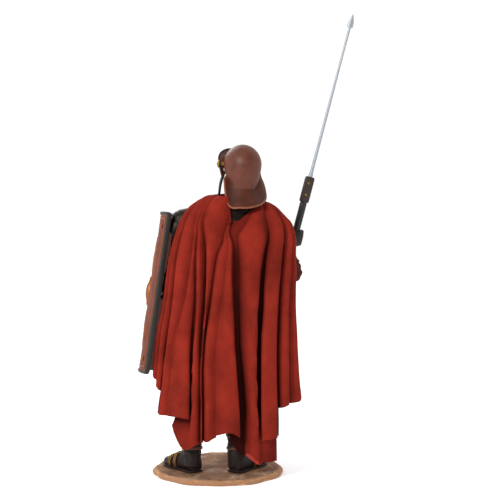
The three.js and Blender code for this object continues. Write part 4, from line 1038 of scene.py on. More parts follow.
def make_shoulder_guards():
    stud = bpy.context.scene.figurine_sizes.stud / MM
    for guard in SHOULDERS:
        path = np.array(guard["path"], float)
        forms, studs = [], []
        for i in range(GUARD_PLATES):
            rings = []
            for edge, swell in ((-0.05, -0.9), (0.0, -0.1), (0.25, 0.35), (0.6, 0.75), (0.9, 1.0),
                                (1.0, 1.0), (1.04, 0.7), (1.05, -0.9)):
                t = (i + edge) * (len(path) - 1) / GUARD_PLATES
                x, y, z, deep, high = smooth(path, t)
                step = smooth(path, t + 0.1) - smooth(path, t - 0.1)
                up = unit(np.array([-step[2], 0, step[0]]))
                if guard["name"] == "right":
                    up = -up
                rings.append(ring((x, y, z), (0, 1, 0), up, deep + swell, high + swell, 64))
            forms.append(skin(rings))
            t = (i + 0.8) * (len(path) - 1) / GUARD_PLATES
            x, y, z, deep, high = smooth(path, t)
            step = smooth(path, t + 0.1) - smooth(path, t - 0.1)
            up = unit(np.array([-step[2], 0, step[0]]))
            if up[2] < 0:
                up = -up
            for lean in (-0.9, -0.35, 0.35, 0.9):
                spot = (np.array([x, y, z]) + up * (high + 0.9) * math.cos(lean)
                        + np.array([0, 1, 0]) * (deep + 0.9) * math.sin(lean))
                studs.append(ball(spot, (stud * 0.8,) * 3, 12, 8))
        plates = build(f"{guard['name']}_shoulder_guard", forms, [finish_named("pewter")], sharp=32)
        mark_hollows(plates, 4, 1.0)
        done(plates, "figure_paint", "figure")
        rivets = build(f"{guard['name']}_shoulder_rivets", studs, [finish_named("brass")])
        mark_hollows(rivets, 2)
        done(rivets, "brass", "figure")


# The shield's and the javelin's places, which the hands close on.
SHIELD_BOW_RADIUS = 65.0
SHIELD_CHORD = 85.0
SHIELD_HEIGHT = 147.0
BOARD_THICK = 3.0
RIM_WIDTH = 3.0
RIM_THICK = 4.8
SHIELD_CORNER = 4.0
RELIEF_HEIGHT = 1.2
BOSS_RADIUS = 10.5
BOSS_FLANGE = 4.0
BOSS_HEIGHT = 5.0
GRIP_RADIUS = 2.2
GRIP_LENGTH = 35.0
BOW = math.asin(SHIELD_CHORD / 2 / SHIELD_BOW_RADIUS)
SHIELD_ARC = 2 * BOW * SHIELD_BOW_RADIUS
BOW_BACK = SHIELD_BOW_RADIUS * math.cos(BOW)
GRIP_X = SHIELD_BOW_RADIUS - BOW_BACK - BOARD_THICK - 8
SHIELD_PLACE = (Matrix.Translation((45.7, -21.6, 156)) @ Matrix.Rotation(math.radians(-6.9), 4, "Y")
                @ Matrix.Rotation(math.radians(-12), 4, "Z") @ Matrix.Rotation(math.radians(6), 4, "X"))

JAVELIN_FOOT = (-16.3, -35.0)
JAVELIN_LEAN = math.radians(-14.56)
JAVELIN_PLACE = (Matrix.Translation((*JAVELIN_FOOT, 0)) @ Matrix.Rotation(JAVELIN_LEAN, 4, "Y"))
JAVELIN_LENGTH = 425.0
SHAFT_RADIUS = 3.3
FIST_HEIGHT = 206.0
SHAFT_LENGTH = FIST_HEIGHT / math.cos(JAVELIN_LEAN) + 34
BLOCK_LENGTH = 24.0
BLOCK_WIDTH = 9.0
BLOCK_DEPTH = 8.0
POINT_LENGTH = 17.0
SHANK_RADIUS = 1.35
RIVET_RADIUS = 1.1

ARMS = [
    dict(name="right", shoulder=(-48, 6, 217), elbow=(-67.5, 2, 178), wrist=(-61.5, -27.5, 201)),
    dict(name="left", shoulder=(30, 1, 216), elbow=(38.5, 4, 180), wrist=(46, -17.5, 161)),
]


def hand(name, grip, bar, fore, back, bar_radius, wrist):
    """A fist closed on a bar. fore points from the wrist through the hand, back out of its back."""
    bar, fore, back = (unit(np.asarray(v, float)) for v in (bar, fore, back))
    grip = np.asarray(grip, float)
    thick = 1.95
    forms = []
    for k in range(4):
        shrink = (1.0, 1.06, 1.0, 0.86)[k]
        centre = grip + bar * (5.8 - 3.9 * k)
        reach = bar_radius + thick * 0.92
        rows = []
        for turn in (-28, 10, 48, 86, 124, 162, 200, 232):
            a = math.radians(turn)
            knuckle = 1.12 if turn in (10, 86, 162) else 0.96
            out = reach * (1.1 if turn < 20 else 1.0)
            spot = centre + back * out * math.cos(a) + fore * out * math.sin(a)
            rows.append([*spot, thick * shrink * knuckle, thick * shrink * knuckle])
        forms.append(limb(rows, across=bar, sides=14, steps=3, round_ends=True))
    wrist = np.asarray(wrist, float)
    palm = grip + back * (bar_radius + 1.0) - fore * 3.0
    forms.append(limb([[*wrist, 4.4, 4.6], [*lerp(wrist, palm, 0.55), 5.8, 3.8], [*palm, 7.0, 3.0],
                       [*(grip + back * (bar_radius + 1.8) + fore * 1.5), 6.9, 2.2]],
                      across=bar, sides=24, steps=6, square=2.6, round_ends=True))
    heel = grip - back * (bar_radius + 0.4) - fore * 4.6
    forms.append(limb([[*lerp(wrist, palm, 0.4), 5.4, 4.4], [*heel, 5.4, 3.2]], across=bar, sides=20,
                      steps=6, round_ends=True))
    thumb = [heel + bar * 5.0 + fore * 1.0, grip - back * (bar_radius + 1.9) + bar * 7.0 - fore * 0.5,
             grip - back * (bar_radius + 1.2) + bar * 7.8 + fore * 3.4,
             grip - back * 0.4 + bar * 7.0 + fore * (bar_radius + 3.4)]
    forms.append(limb([[*p, r, r] for p, r in zip(thumb, (2.6, 2.3, 2.1, 1.8))], across=bar, sides=14,
                      steps=5, round_ends=True))
    made = build(name, forms, [finish_named("glove")])
    melt(made, 0.45, 3)
    mark_hollows(made, 6, 1.6)
    done(made, "figure_paint", "figure")


def make_arms():
    for arm in ARMS:
        name = arm["name"]
        shoulder, elbow, wrist = (np.array(arm[k], float) for k in ("shoulder", "elbow", "wrist"))
        across = unit(np.cross(elbow - shoulder, wrist - elbow))
        flesh = build(f"{name}_forearm", [limb([
            [*lerp(shoulder, elbow, 0.5), 7.2, 7.2], [*lerp(shoulder, elbow, 0.8), 6.7, 6.7],
            [*elbow, 6.3, 6.4], [*lerp(elbow, wrist, 0.3), 6.6, 6.9],
            [*lerp(elbow, wrist, 0.6), 5.8, 6.0], [*wrist, 4.8, 5]], across, 28, 10)],
            [finish_named("skin")])
        melt(flesh, 0.7, 5)
        mark_hollows(flesh, 8)
        done(flesh, "figure_paint", "figure")

        below = lerp(elbow, wrist, 0.3)
        t = np.linspace(0, 3, 60)
        rows = smooth([[*shoulder, 10.4], [*lerp(shoulder, elbow, 0.55), 8.9], [*elbow, 8.0],
                       [*below, 8.2]], t)
        angle = np.linspace(0, 2 * math.pi, 72, endpoint=False)
        along = unit(np.gradient(rows[:, :3], axis=0))
        rings = []
        for row, tt, way in zip(rows, t, along):
            u = unit(np.cross(across, way))
            loop = ring(row[:3], u, across, row[3], row[3], 72)
            fold = 0.45 * np.sin(angle * 7 + 3 * tt) + 0.5 * np.sin(tt * 13 + 2 * np.sin(angle * 2))
            rings.append(loop + unit(loop - row[:3]) * fold[:, None] * min(tt, 1) * 0.8)
        inner = [below + (rings[-1] - below) * k - along[-1] * d for k, d in ((0.88, 0.2), (0.8, 4))]
        sleeve = build(f"{name}_sleeve", [skin(rings + inner)], [finish_named("tunic")], sharp=70)
        mark_hollows(sleeve, 4)
        done(sleeve, "figure_paint", "figure")

        cuff_rows = []
        for share, out in ((0.34, -0.5), (0.345, 0.9), (0.37, 1.3), (0.42, 0.9), (0.56, 0.8), (0.58, 1.2),
                           (0.62, 1.2), (0.64, 0.8), (0.8, 0.6), (0.82, 1.0), (0.86, 0.9), (0.87, -0.5)):
            base = lerp(6.5, 5.0, (share - 0.4) / 0.6)
            cuff_rows.append([*lerp(elbow, wrist, share), base + out, base + out + 0.2])
        cuff = build(f"{name}_bracer", [limb(cuff_rows, across, 40, 3)], [finish_named("strap")])
        mark_hollows(cuff, 3)
        done(cuff, "figure_paint", "figure")

    right_grip = np.array([JAVELIN_FOOT[0] - FIST_HEIGHT * math.tan(-JAVELIN_LEAN), JAVELIN_FOOT[1],
                           FIST_HEIGHT])
    upright = (math.sin(JAVELIN_LEAN), 0, math.cos(JAVELIN_LEAN))
    hand("right_hand", right_grip, upright, (0.25, -1, 0), (-1, -0.2, 0), SHAFT_RADIUS, ARMS[0]["wrist"])
    left_grip = np.array(SHIELD_PLACE @ Vector((GRIP_X, 0, 0)))
    axis = np.array((SHIELD_PLACE.to_3x3() @ Vector((0, -1, 0))))
    down = np.array((SHIELD_PLACE.to_3x3() @ Vector((0, 0, -1))))
    hand("left_hand", left_grip, axis, down, (-1, 0, 0), GRIP_RADIUS, ARMS[1]["wrist"])


# The head is carved about its own middle with the face to -Y, then turned.
HEAD_TURN = 28
HEAD_ROLL = 4
HEAD_PLACE = (Matrix.Translation((-22, 5, 272)) @ Matrix.Rotation(math.radians(-HEAD_ROLL), 4, "Y")
              @ Matrix.Rotation(math.radians(HEAD_TURN), 4, "Z"))
# The skull from the chin up: height, middle y, half width, half depth.
SKULL = [
    [-19.5, -8, 4.4, 4.6], [-17, -6.6, 7.2, 8.2], [-11, -4.2, 9.6, 11.4], [-5, -1.6, 11.2, 13.7],
    [2, 0.4, 11.7, 15], [9, 1, 11.9, 15], [14.5, 1.2, 8.9, 11], [17.6, 1.2, 3.6, 4.8],
]


def make_neck():
    throat = limb([[-15, 8.5, 228, 10.5, 10.5], [-18, 7.5, 246, 8.6, 9], [-21, 6.5, 260, 9, 9.4]], sides=40)
    cords = [limb([[-15 + s * 8, 1, 240, 1.6, 1.6], [-20 + s * 6.5, 3, 252, 1.7, 1.7],
                   [-22 + s * 6, 6, 262, 1.6, 1.6]], round_ends=True) for s in (-1, 1)]
    flesh = build("neck", [throat, *cords], [finish_named("skin")])
    melt(flesh, 0.8, 5)
    mark_hollows(flesh, 6)
    done(flesh, "figure_paint", "figure")

    rolls = []
    for k, (z, half, deep, fat) in enumerate(((232, 13.6, 12, 2.6), (235.6, 14, 12, 2.6),
                                               (239.4, 13, 11, 2.4), (242.4, 10.2, 9.4, 2.2))):
        angle = np.linspace(0, 2 * math.pi, 72, endpoint=False)
        wobble = np.sin(2 * angle + k * 1.7) * 0.9 + np.sin(3 * angle + k) * 0.5
        path = np.stack([-16.2 - k * 0.5 + half * np.cos(angle), 8 + deep * np.sin(angle),
                         z + wobble], -1)
        rolls.append(tube(path, fat, 16, closed=True))
    knot = [ball((-14, -3.4, 235), (4.2, 3, 3.4)), limb([[-15, -4.6, 233, 3.2, 1.6],
            [-18, -6.6, 226, 3.6, 1.5], [-17, -7.8, 219, 4.2, 1.3]], sides=20, square=3)]
    scarf = build("scarf", rolls + knot, [finish_named("scarf")])
    melt(scarf, 0.6, 3)
    mark_hollows(scarf, 6, 1.4)
    done(scarf, "figure_paint", "figure")


def make_head():
    rows = smooth(SKULL, np.linspace(0, len(SKULL) - 1, 60))
    forms = [skin([ring((0, y, z), (1, 0, 0), (0, 1, 0), half, deep, 64, 2.15) for z, y, half, deep in rows])]
    # Brow ridge, bridge and tip of the nose, wings, cheeks, lips, chin and jaw.
    forms.append(limb([[-8.2, -11, 5, 1.3, 1.7], [-4.4, -14, 5.9, 1.4, 1.5], [0, -14.6, 5.1, 1.4, 1.3],
                       [4.4, -14, 5.9, 1.4, 1.5], [8.2, -11, 5, 1.3, 1.7]], across=(0, 1, 0), sides=16))
    forms.append(limb([[0, -14.2, 5, 1.5, 1.4], [0, -15.4, 1, 1.5, 1.7], [0, -16.7, -2.6, 1.8, 1.9],
                       [0, -17.3, -4.8, 2.0, 1.8]], sides=18, round_ends=True))
    for side in (-1, 1):
        forms.append(ball((side * 2.0, -15.2, -5.2), (1.4, 1.8, 1.2)))
        forms.append(ball((side * 6.6, -11.2, -3.2), (3.6, 3.2, 3.4)))
        forms.append(ball((side * 7.6, -5, -12.5), (2.6, 6.2, 3.2)))
        forms.append(ball((side * 4.6, -12.6, 1.9), (2.5, 1.5, 1.5)))
    forms.append(limb([[-3.7, -12.6, -9.9, 0.7, 0.6], [-1.4, -14.6, -9.3, 1.0, 0.75],
                       [0, -14.7, -9.6, 1.0, 0.6], [1.4, -14.6, -9.3, 1.0, 0.75],
                       [3.7, -12.6, -9.9, 0.7, 0.6]], across=(0, 1, 0), sides=14, round_ends=True))
    forms.append(limb([[-3.2, -12.5, -10.6, 0.7, 0.6], [0, -14.4, -11.3, 1.0, 0.95],
                       [3.2, -12.5, -10.6, 0.7, 0.6]], across=(0, 1, 0), sides=14, round_ends=True))
    forms.append(ball((0, -12.6, -16.6), (3.6, 2.8, 2.7)))
    head = build("head", [moved(form, HEAD_PLACE) for form in forms], [finish_named("skin")])
    melt(head, 0.38, 3)
    mark_hollows(head, 8, 1.8)
    done(head, "figure_paint", "figure")

    eyes, lids = [], []
    for side in (-1, 1):
        centre = np.array([side * 4.5, -12.35, 1.9])
        eyes.append(ball(centre, (1.75, 1.75, 1.75), 24, 16))
        for way, drop in ((1, 0.5), (-1, -0.75)):
            arc = []
            for a in np.linspace(-1.15, 1.15, 11):
                lift = drop + way * 0.75 * math.cos(a * 1.2)
                arc.append(centre + np.array([1.95 * math.sin(a), -1.8 * math.cos(a * 0.9), lift]))
            lids.append(tube(arc, 0.34, 8))
    lid = build("eyelids", [moved(form, HEAD_PLACE) for form in lids], [finish_named("skin")])
    mark_hollows(lid, 2)
    done(lid, "figure_paint", "figure")
    eye = build("eyes", [moved(form, HEAD_PLACE) for form in eyes], [eye_paint()])
    look = np.array((HEAD_PLACE.to_3x3() @ Vector((0, -1, -0.05))))
    normal = normals_at(eye)
    mark(eye, "iris", ease(0.80, 0.88, normal @ unit(look)))
    done(eye, "figure_paint", "figure")


def eye_paint():
    """Glossy enamel dots: off white with a dark brown iris, so that the look is calm and level."""
    material, tree, shader, _ = begin("eye_enamel", 0.2)
    iris = add(tree, "ShaderNodeAttribute", attribute_name="iris").outputs["Fac"]
    paint = add(tree, "ShaderNodeValToRGB", links={"Fac": iris},
                stops=[(0.0, linear("d8cbbb")), (0.5, linear("3b2417")), (1.0, linear("120b08"))])
    tree.links.new(paint.outputs["Color"], shader.inputs["Base Color"])
    return material


# The helmet in the head's own frame. The angle runs round from the back of the head.
BOWL_HALF = 16.4
BOWL_DEEP = 19.6
BOWL_MIDDLE = 4.0
BOWL_TOP = 22.0
BOWL_BACK = -18.0
BOWL_BROW = 7.0
HELMET_WALL = 1.6
GUARD_HALF = 22
GUARD_DEEP = 27.5
# The height of the guard's lower edge, every 30 degrees round from the right ear to the left.
GUARD_EDGE = [-5, -20.5, -27.4, -31, -32.6, -30.8, -5]


def on_head(angle, half, deep, z):
    return np.stack(np.broadcast_arrays(half * np.sin(angle), deep * np.cos(angle), z), -1)


def rim_height(angle):
    turn = np.abs(np.degrees((angle + math.pi) % (2 * math.pi) - math.pi)) - 18 * np.sin(angle)
    return lerp(BOWL_BACK, BOWL_BROW, ease(32, 122, turn))


def bowl_taper(z):
    """How far the bowl draws in below its widest line."""
    return 1 - 0.19 * (np.clip(BOWL_MIDDLE - z, 0, None) / (BOWL_MIDDLE - BOWL_BACK)) ** 1.5


def bowl_grid(inset, sides=144, rows=60):
    angle = np.linspace(0, 2 * math.pi, sides, endpoint=False)[None, :]
    v = np.linspace(0.01, 1, rows)[:, None]
    half, deep, top = BOWL_HALF - inset, BOWL_DEEP - inset, BOWL_TOP - inset
    rim = rim_height(angle)
    mean = (half + deep + top - BOWL_MIDDLE) / 3
    above = np.clip((rim - BOWL_MIDDLE) / (top - BOWL_MIDDLE), 0, 0.99)
    dome_end = np.arccos(above)
    straight = np.clip(BOWL_MIDDLE - rim, 0, None)
    total = mean * dome_end + straight
    s = v * total
    d = np.minimum(s / mean, dome_end)
    fall = np.clip(s - mean * dome_end, 0, None)
    taper = bowl_taper(BOWL_MIDDLE - fall)
    z = BOWL_MIDDLE + (top - BOWL_MIDDLE) * np.cos(d) - fall
    return on_head(angle, half * np.sin(d) * taper, deep * np.sin(d) * taper, z)


def guard_grid(columns=120, rows=26):
    u = np.linspace(-90, 90, columns)[None, :]
    v = np.linspace(0, 1, rows)[:, None]
    angle = np.radians(u)
    end = np.abs(u) / 90
    high = rim_height(angle) + 3
    low = np.minimum(smooth(GUARD_EDGE, (u + 90) / 30), high - 4)
    flare = v ** 1.3
    half = lerp(BOWL_HALF * bowl_taper(high) - 0.9, lerp(GUARD_HALF, BOWL_HALF + 0.6, end ** 5), flare)
    deep = lerp(BOWL_DEEP * bowl_taper(high) - 0.9, lerp(GUARD_DEEP, BOWL_DEEP + 0.6, end ** 5), flare)
    return on_head(angle, half, deep, lerp(high, low, v))


def brow_grid(columns=90, rows=10):
    turn = np.linspace(-80, 80, columns)[None, :]
    v = np.linspace(0, 1, rows)[:, None]
    angle = math.pi + np.radians(turn)
    rise = 2.2 + 8 * np.clip(np.cos(np.radians(turn * 1.12)), 0, 1) ** 2
    base = rim_height(angle) - 1 - 4 * ease(40, 75, np.abs(turn))
    out = lerp(-0.8, 4.6, v ** 1.3) * lerp(1, 0.45, ease(52, 80, np.abs(turn)))
    return on_head(angle, BOWL_HALF + out, BOWL_DEEP + out, base + rise * v)


def cheek_grid(side, columns=28, rows=36):
    half = BOWL_HALF - HELMET_WALL - GAP - 0.8
    deep = BOWL_DEEP - HELMET_WALL - GAP - 0.8
    u = np.linspace(0, 1, columns)[None, :]
    v = np.linspace(0, 1, rows)[:, None]
    width = lerp(15, 21, np.sin(v * math.pi) ** 0.7)
    angle = side * np.radians(lerp(118 - width, 118 + width, u) + 5 * v)
    out = 5.7 * (1 - (1 - v) ** 3)
    return on_head(angle, half + out, deep + out, lerp(0, -24, v) + 0 * u)


def make_helmet():
    sizes = bpy.context.scene.figurine_sizes
    plate, roll = sizes.plate / MM, sizes.rolled_rim / MM
    outer, inner = bowl_grid(0), bowl_grid(HELMET_WALL)
    bowl = skin(np.concatenate([outer, inner[::-1]]))
    guard = sheet(guard_grid(), -plate)
    forms = [(moved(bowl, HEAD_PLACE), 0), (moved(guard, HEAD_PLACE), 1)]
    shell = build("helmet_bowl", forms, [finish_named("helmet"), finish_named("guard")])
    mark_hollows(shell, 6, 1.2)
    done(shell, "helmet_leather", "helmet")

    edge = guard_grid()[-1]
    left, right = guard_grid()[:, 0][::-1], guard_grid()[:, -1]
    path = np.concatenate([left[:-1][::-1], edge, right[::-1][1:]])
    path[:, 2] -= 0.2
    rims = [tube(path[1:-1], roll, 12)]
    rolled = build("helmet_rolled_rim", [moved(form, HEAD_PLACE) for form in rims], [finish_named("tan")])
    mark_hollows(rolled, 2)
    done(rolled, "helmet_leather", "helmet")

    brow = brow_grid()
    plates = [(moved(sheet(brow, -plate), HEAD_PLACE), 0), (moved(tube(brow[-1], 0.8, 10), HEAD_PLACE), 1)]
    peak = build("helmet_brow_plate", plates, [finish_named("helmet"), finish_named("iron")])
    mark_hollows(peak, 3)
    done(peak, "helmet_leather", "helmet")

    studs = []
    for side in (-1, 1):
        a = side * math.radians(118)
        spot = on_head(a, BOWL_HALF + 4.2, BOWL_DEEP + 4.2, 3.2)
        out = unit(on_head(a, BOWL_DEEP, BOWL_HALF, 0.0))
        over = np.cross((0, 0, 1), out)
        studs.append(skin([ring(spot + out * o, over, (0, 0, 1), r, r, 28)
                           for o, r in ((-5, 1.7), (-0.6, 1.9), (-0.4, 3.4), (0.3, 3.6), (0.8, 3.3),
                                        (0.8, 2.3), (1.4, 1.7), (1.7, 0.5))]))
        for turn in (145, 165):
            b = side * math.radians(turn)
            stud = on_head(b, BOWL_HALF + 0.1, BOWL_DEEP + 0.1, rim_height(b) + 3.4)
            studs.append(ball(stud, (0.8,) * 3, 12, 8))
    bosses = build("helmet_studs", [moved(form, HEAD_PLACE) for form in studs], [finish_named("brass")])
    mark_hollows(bosses, 2)
    done(bosses, "brass", "helmet")

    for side, name in ((1, "left"), (-1, "right")):
        grid = cheek_grid(side)
        forms = [sheet(grid, -side * plate)]
        border = np.concatenate([grid[3:, 0], grid[-1, 1:], grid[3:-1, -1][::-1]])
        forms.append(tube(border, 0.55, 8))
        cheek = build(f"{name}_cheek_guard", [moved(form, HEAD_PLACE) for form in forms],
                      [finish_named("boot")])
        mark_hollows(cheek, 4)
        done(cheek, "helmet_leather", f"cheek_guard_{name}")


# The cloak. A level of 0 is the neckline, 3 the shoulder's edge, and from 4 down to 9 the levels
# are evenly spaced heights. Each row: middle x, half width, half depth behind and in front, and the
# height at the left, right, back and front.
CLOAK_Y = 8
CLOAK_HANG = 194
CLOAK_LEVELS = np.array([
    [-18, 21, 18.5, 17, 249, 243, 227, 233],
    [-16, 29, 22.5, 19, 247, 242, 221, 229],
    [-14.5, 40, 26, 20, 237.5, 235, 214, 221],
    [-15, 50.5, 29, 21, 222, 221, 206, 207],
    [-12.7, 58.4, 30.5, 22, 194, 194, 194, 194],
    [-9.8, 62, 31.5, 23, 155.2, 155.2, 155.2, 155.2],
    [-6.5, 66, 33.5, 24, 116.4, 116.4, 116.4, 116.4],
    [-5.6, 68.5, 35.5, 25, 77.6, 77.6, 77.6, 77.6],
    [-5, 70.5, 37, 26, 38.8, 38.8, 38.8, 38.8],
    [-4.5, 72, 38, 27, 0, 0, 0, 0],
])
# The valleys between its folds, from the right free edge to the left one, each at five stations
# (levels 0, 2, 4, 6 and 8): its turn round from the back in degrees, its depth, and how far its
# bottom slips sideways under a neighbour, in degrees.
VALLEYS = [
    dict(turn=[-172, -125, -80, -80, -86], depth=[0, 0, 0, 0, 0], slip=[0, 0, 0, 0, 0]),
    dict(turn=[-125, -100, -68, -63, -60], depth=[0.5, 1, 2, 2.5, 3], slip=[0, 0, 0, 0, 0]),
    dict(turn=[-95, -78, -54, -48, -46.5], depth=[1, 2, 4, 5.5, 6], slip=[0, 0, -2, -3, -4]),
    dict(turn=[-75, -50, -31, -26.6, -24.5], depth=[1, 3, 6.5, 9, 10], slip=[0, -1, -4, -9, -21]),
    dict(turn=[-35, -3, -4.5, -13, -18], depth=[3.5, 4.5, 7, 9, 10], slip=[-5, -5, -2, 0, 0]),
    dict(turn=[16, 4, -2, -11, -16], depth=[2.5, 3.5, 7, 9, 9], slip=[0, 1, 2, 5, 10]),
    dict(turn=[12, 8.5, 4, 7, 5.7], depth=[0.2, 0.2, 0.6, 1.4, 1.8], slip=[0, 0, 0, 0, 0]),
    dict(turn=[18, 12, 14, 17.6, 16], depth=[1.5, 2.5, 4, 6.5, 7.5], slip=[0, 0, 0, 0, 0]),
    dict(turn=[60, 45, 25.3, 19, 17.0], depth=[1.5, 2.5, 6, 9, 9], slip=[0, 0, 0, 0, 0]),
    dict(turn=[68, 50, 34.3, 25.5, 21.0], depth=[1, 1.5, 3, 6, 9], slip=[0, 0, 1, 5, 25]),
    dict(turn=[76, 56, 40, 45, 47], depth=[1, 1.5, 2.5, 1.4, 0.4], slip=[0, 0, 0, 0, 0]),
    dict(turn=[92, 74, 60, 55, 56], depth=[1, 2, 3.5, 4, 3.5], slip=[0, 0, 1, 2, 8]),
    dict(turn=[120, 84, 67, 65, 66], depth=[0.5, 1, 1.5, 2, 2.5], slip=[0, 0, 0, 0, 0]),
    dict(turn=[172, 97, 75, 71.5, 73], depth=[0, 0, 0, 0, 0], slip=[0, 0, 0, 0, 0]),
]
# The hem's height across each fold, at its start, middle and end.
HEMS = np.array([
    [68, 64, 62.5], [62.5, 61.5, 59], [34, 33.5, 32], [14.5, 14.5, 23], [20, 23, 31], [34, 40, 37],
    [35, 32, 32], [32, 31, 30], [30, 25, 44], [51, 53, 53], [53, 53, 53], [74, 78, 82], [83, 86, 88],
], float)
BULGE = 0.11
SUNK_FOLD = 4
# Shares of a fold's width: the reach of a valley's flank, of the flank that a lap covers it with,
# and of the turned-under edge beside a lap.
FLANK = 0.46
LAP_FLANK = 0.22
LAP = 0.16


def flank(s, depth, lap):
    """How far down a valley's flank a point is, at share s of the fold from the valley's line. Deep
    valleys meet in a sharp line and shallow ones are round; lap is how far one fold runs on under
    the other."""
    t = np.clip(1 - s / lerp(FLANK, LAP_FLANK, ease(1, 6, lap)), 0, 1)
    return lerp(t * t * (3 - 2 * t), t ** 1.7, ease(1.8, 4.5, depth))


def cloak_points(fold, s, level):
    """Points of the cloak's outer face, and how deep each lies in a valley, from 0 to 1."""
    station = np.minimum(level, 8) / 2

    def valley(offset, key):
        rows = np.array([VALLEYS[k][key] for k in fold + offset], float).T
        return smooth_columns(rows, station)

    levels = smooth(CLOAK_LEVELS, level)
    x, half, back, front, left, right, rear, fore = np.moveaxis(levels, -1, 0)
    start, end = valley(0, "turn"), valley(1, "turn")
    start_slip, end_slip = valley(0, "slip"), valley(1, "slip")
    start_depth, end_depth = valley(0, "depth"), valley(1, "depth")
    # Under a lap a fold runs on to the valley's slipped line; over it, its edge turns back to it.
    near = np.clip(1 - s / LAP, 0, 1) ** 2 * np.maximum(start_slip, 0)
    far = np.clip(1 - (1 - s) / LAP, 0, 1) ** 2 * np.minimum(end_slip, 0)
    turn = lerp(start + np.minimum(start_slip, 0), end + np.maximum(end_slip, 0), s)
    # The share of the fold that shows: what runs on under a neighbour stays at the valley's depth.
    first = start + 0.2 * np.minimum(start_slip, 0)
    last = end + 0.2 * np.maximum(end_slip, 0)
    shown = np.clip((turn - first) / (last - first), 0, 1)
    turn = np.radians(turn + near + far)
    width = np.radians(end - start) * half
    swell = np.minimum(BULGE * width, 3.6) * (4 * shown * (1 - shown)) ** 0.8
    # Below its neighbour's hem a fold that ran under it comes forward again.
    free = ease(7.55, 8.1, level)
    start_depth = start_depth * np.where(fold == 3, 1 - 0.65 * free, 1)
    end_depth = end_depth * np.where(fold == 8, 1 - 0.7 * free, 1)
    dip = np.maximum(flank(shown, start_depth, np.abs(start_slip)) * start_depth,
                     flank(1 - shown, end_depth, np.abs(end_slip)) * end_depth)
    hidden = lerp(start_depth, end_depth, s) * 0.85
    dip = np.where(fold == SUNK_FOLD, hidden, dip)
    swell = np.where(fold == SUNK_FOLD, 0, swell)
    out = swell - dip
    sin, cos = np.sin(turn), np.cos(turn)
    deep = np.where(cos > 0, back, front)
    side = np.where(sin > 0, left, right)
    # The neckline climbs steeply beside the nape on the left, and gently on the right.
    gentle = np.abs(sin) ** 1.2
    climb = np.where(sin > 0, lerp(ease(0.26, 0.42, sin), gentle, np.clip(level / 2, 0, 1)), gentle)
    height = lerp(np.where(cos > 0, rear, fore), side, climb)
    points = np.stack([x + (half + out) * sin, CLOAK_Y + (deep + out) * cos, height], -1)
    return points, np.clip(dip / 9, 0, 1)


def cloak_edge(fold, s, levels):
    """Points down one line of the cloak."""
    points, _ = cloak_points(np.array([fold]), np.array([s]), np.asarray(levels, float)[:, None])
    return points[:, 0]


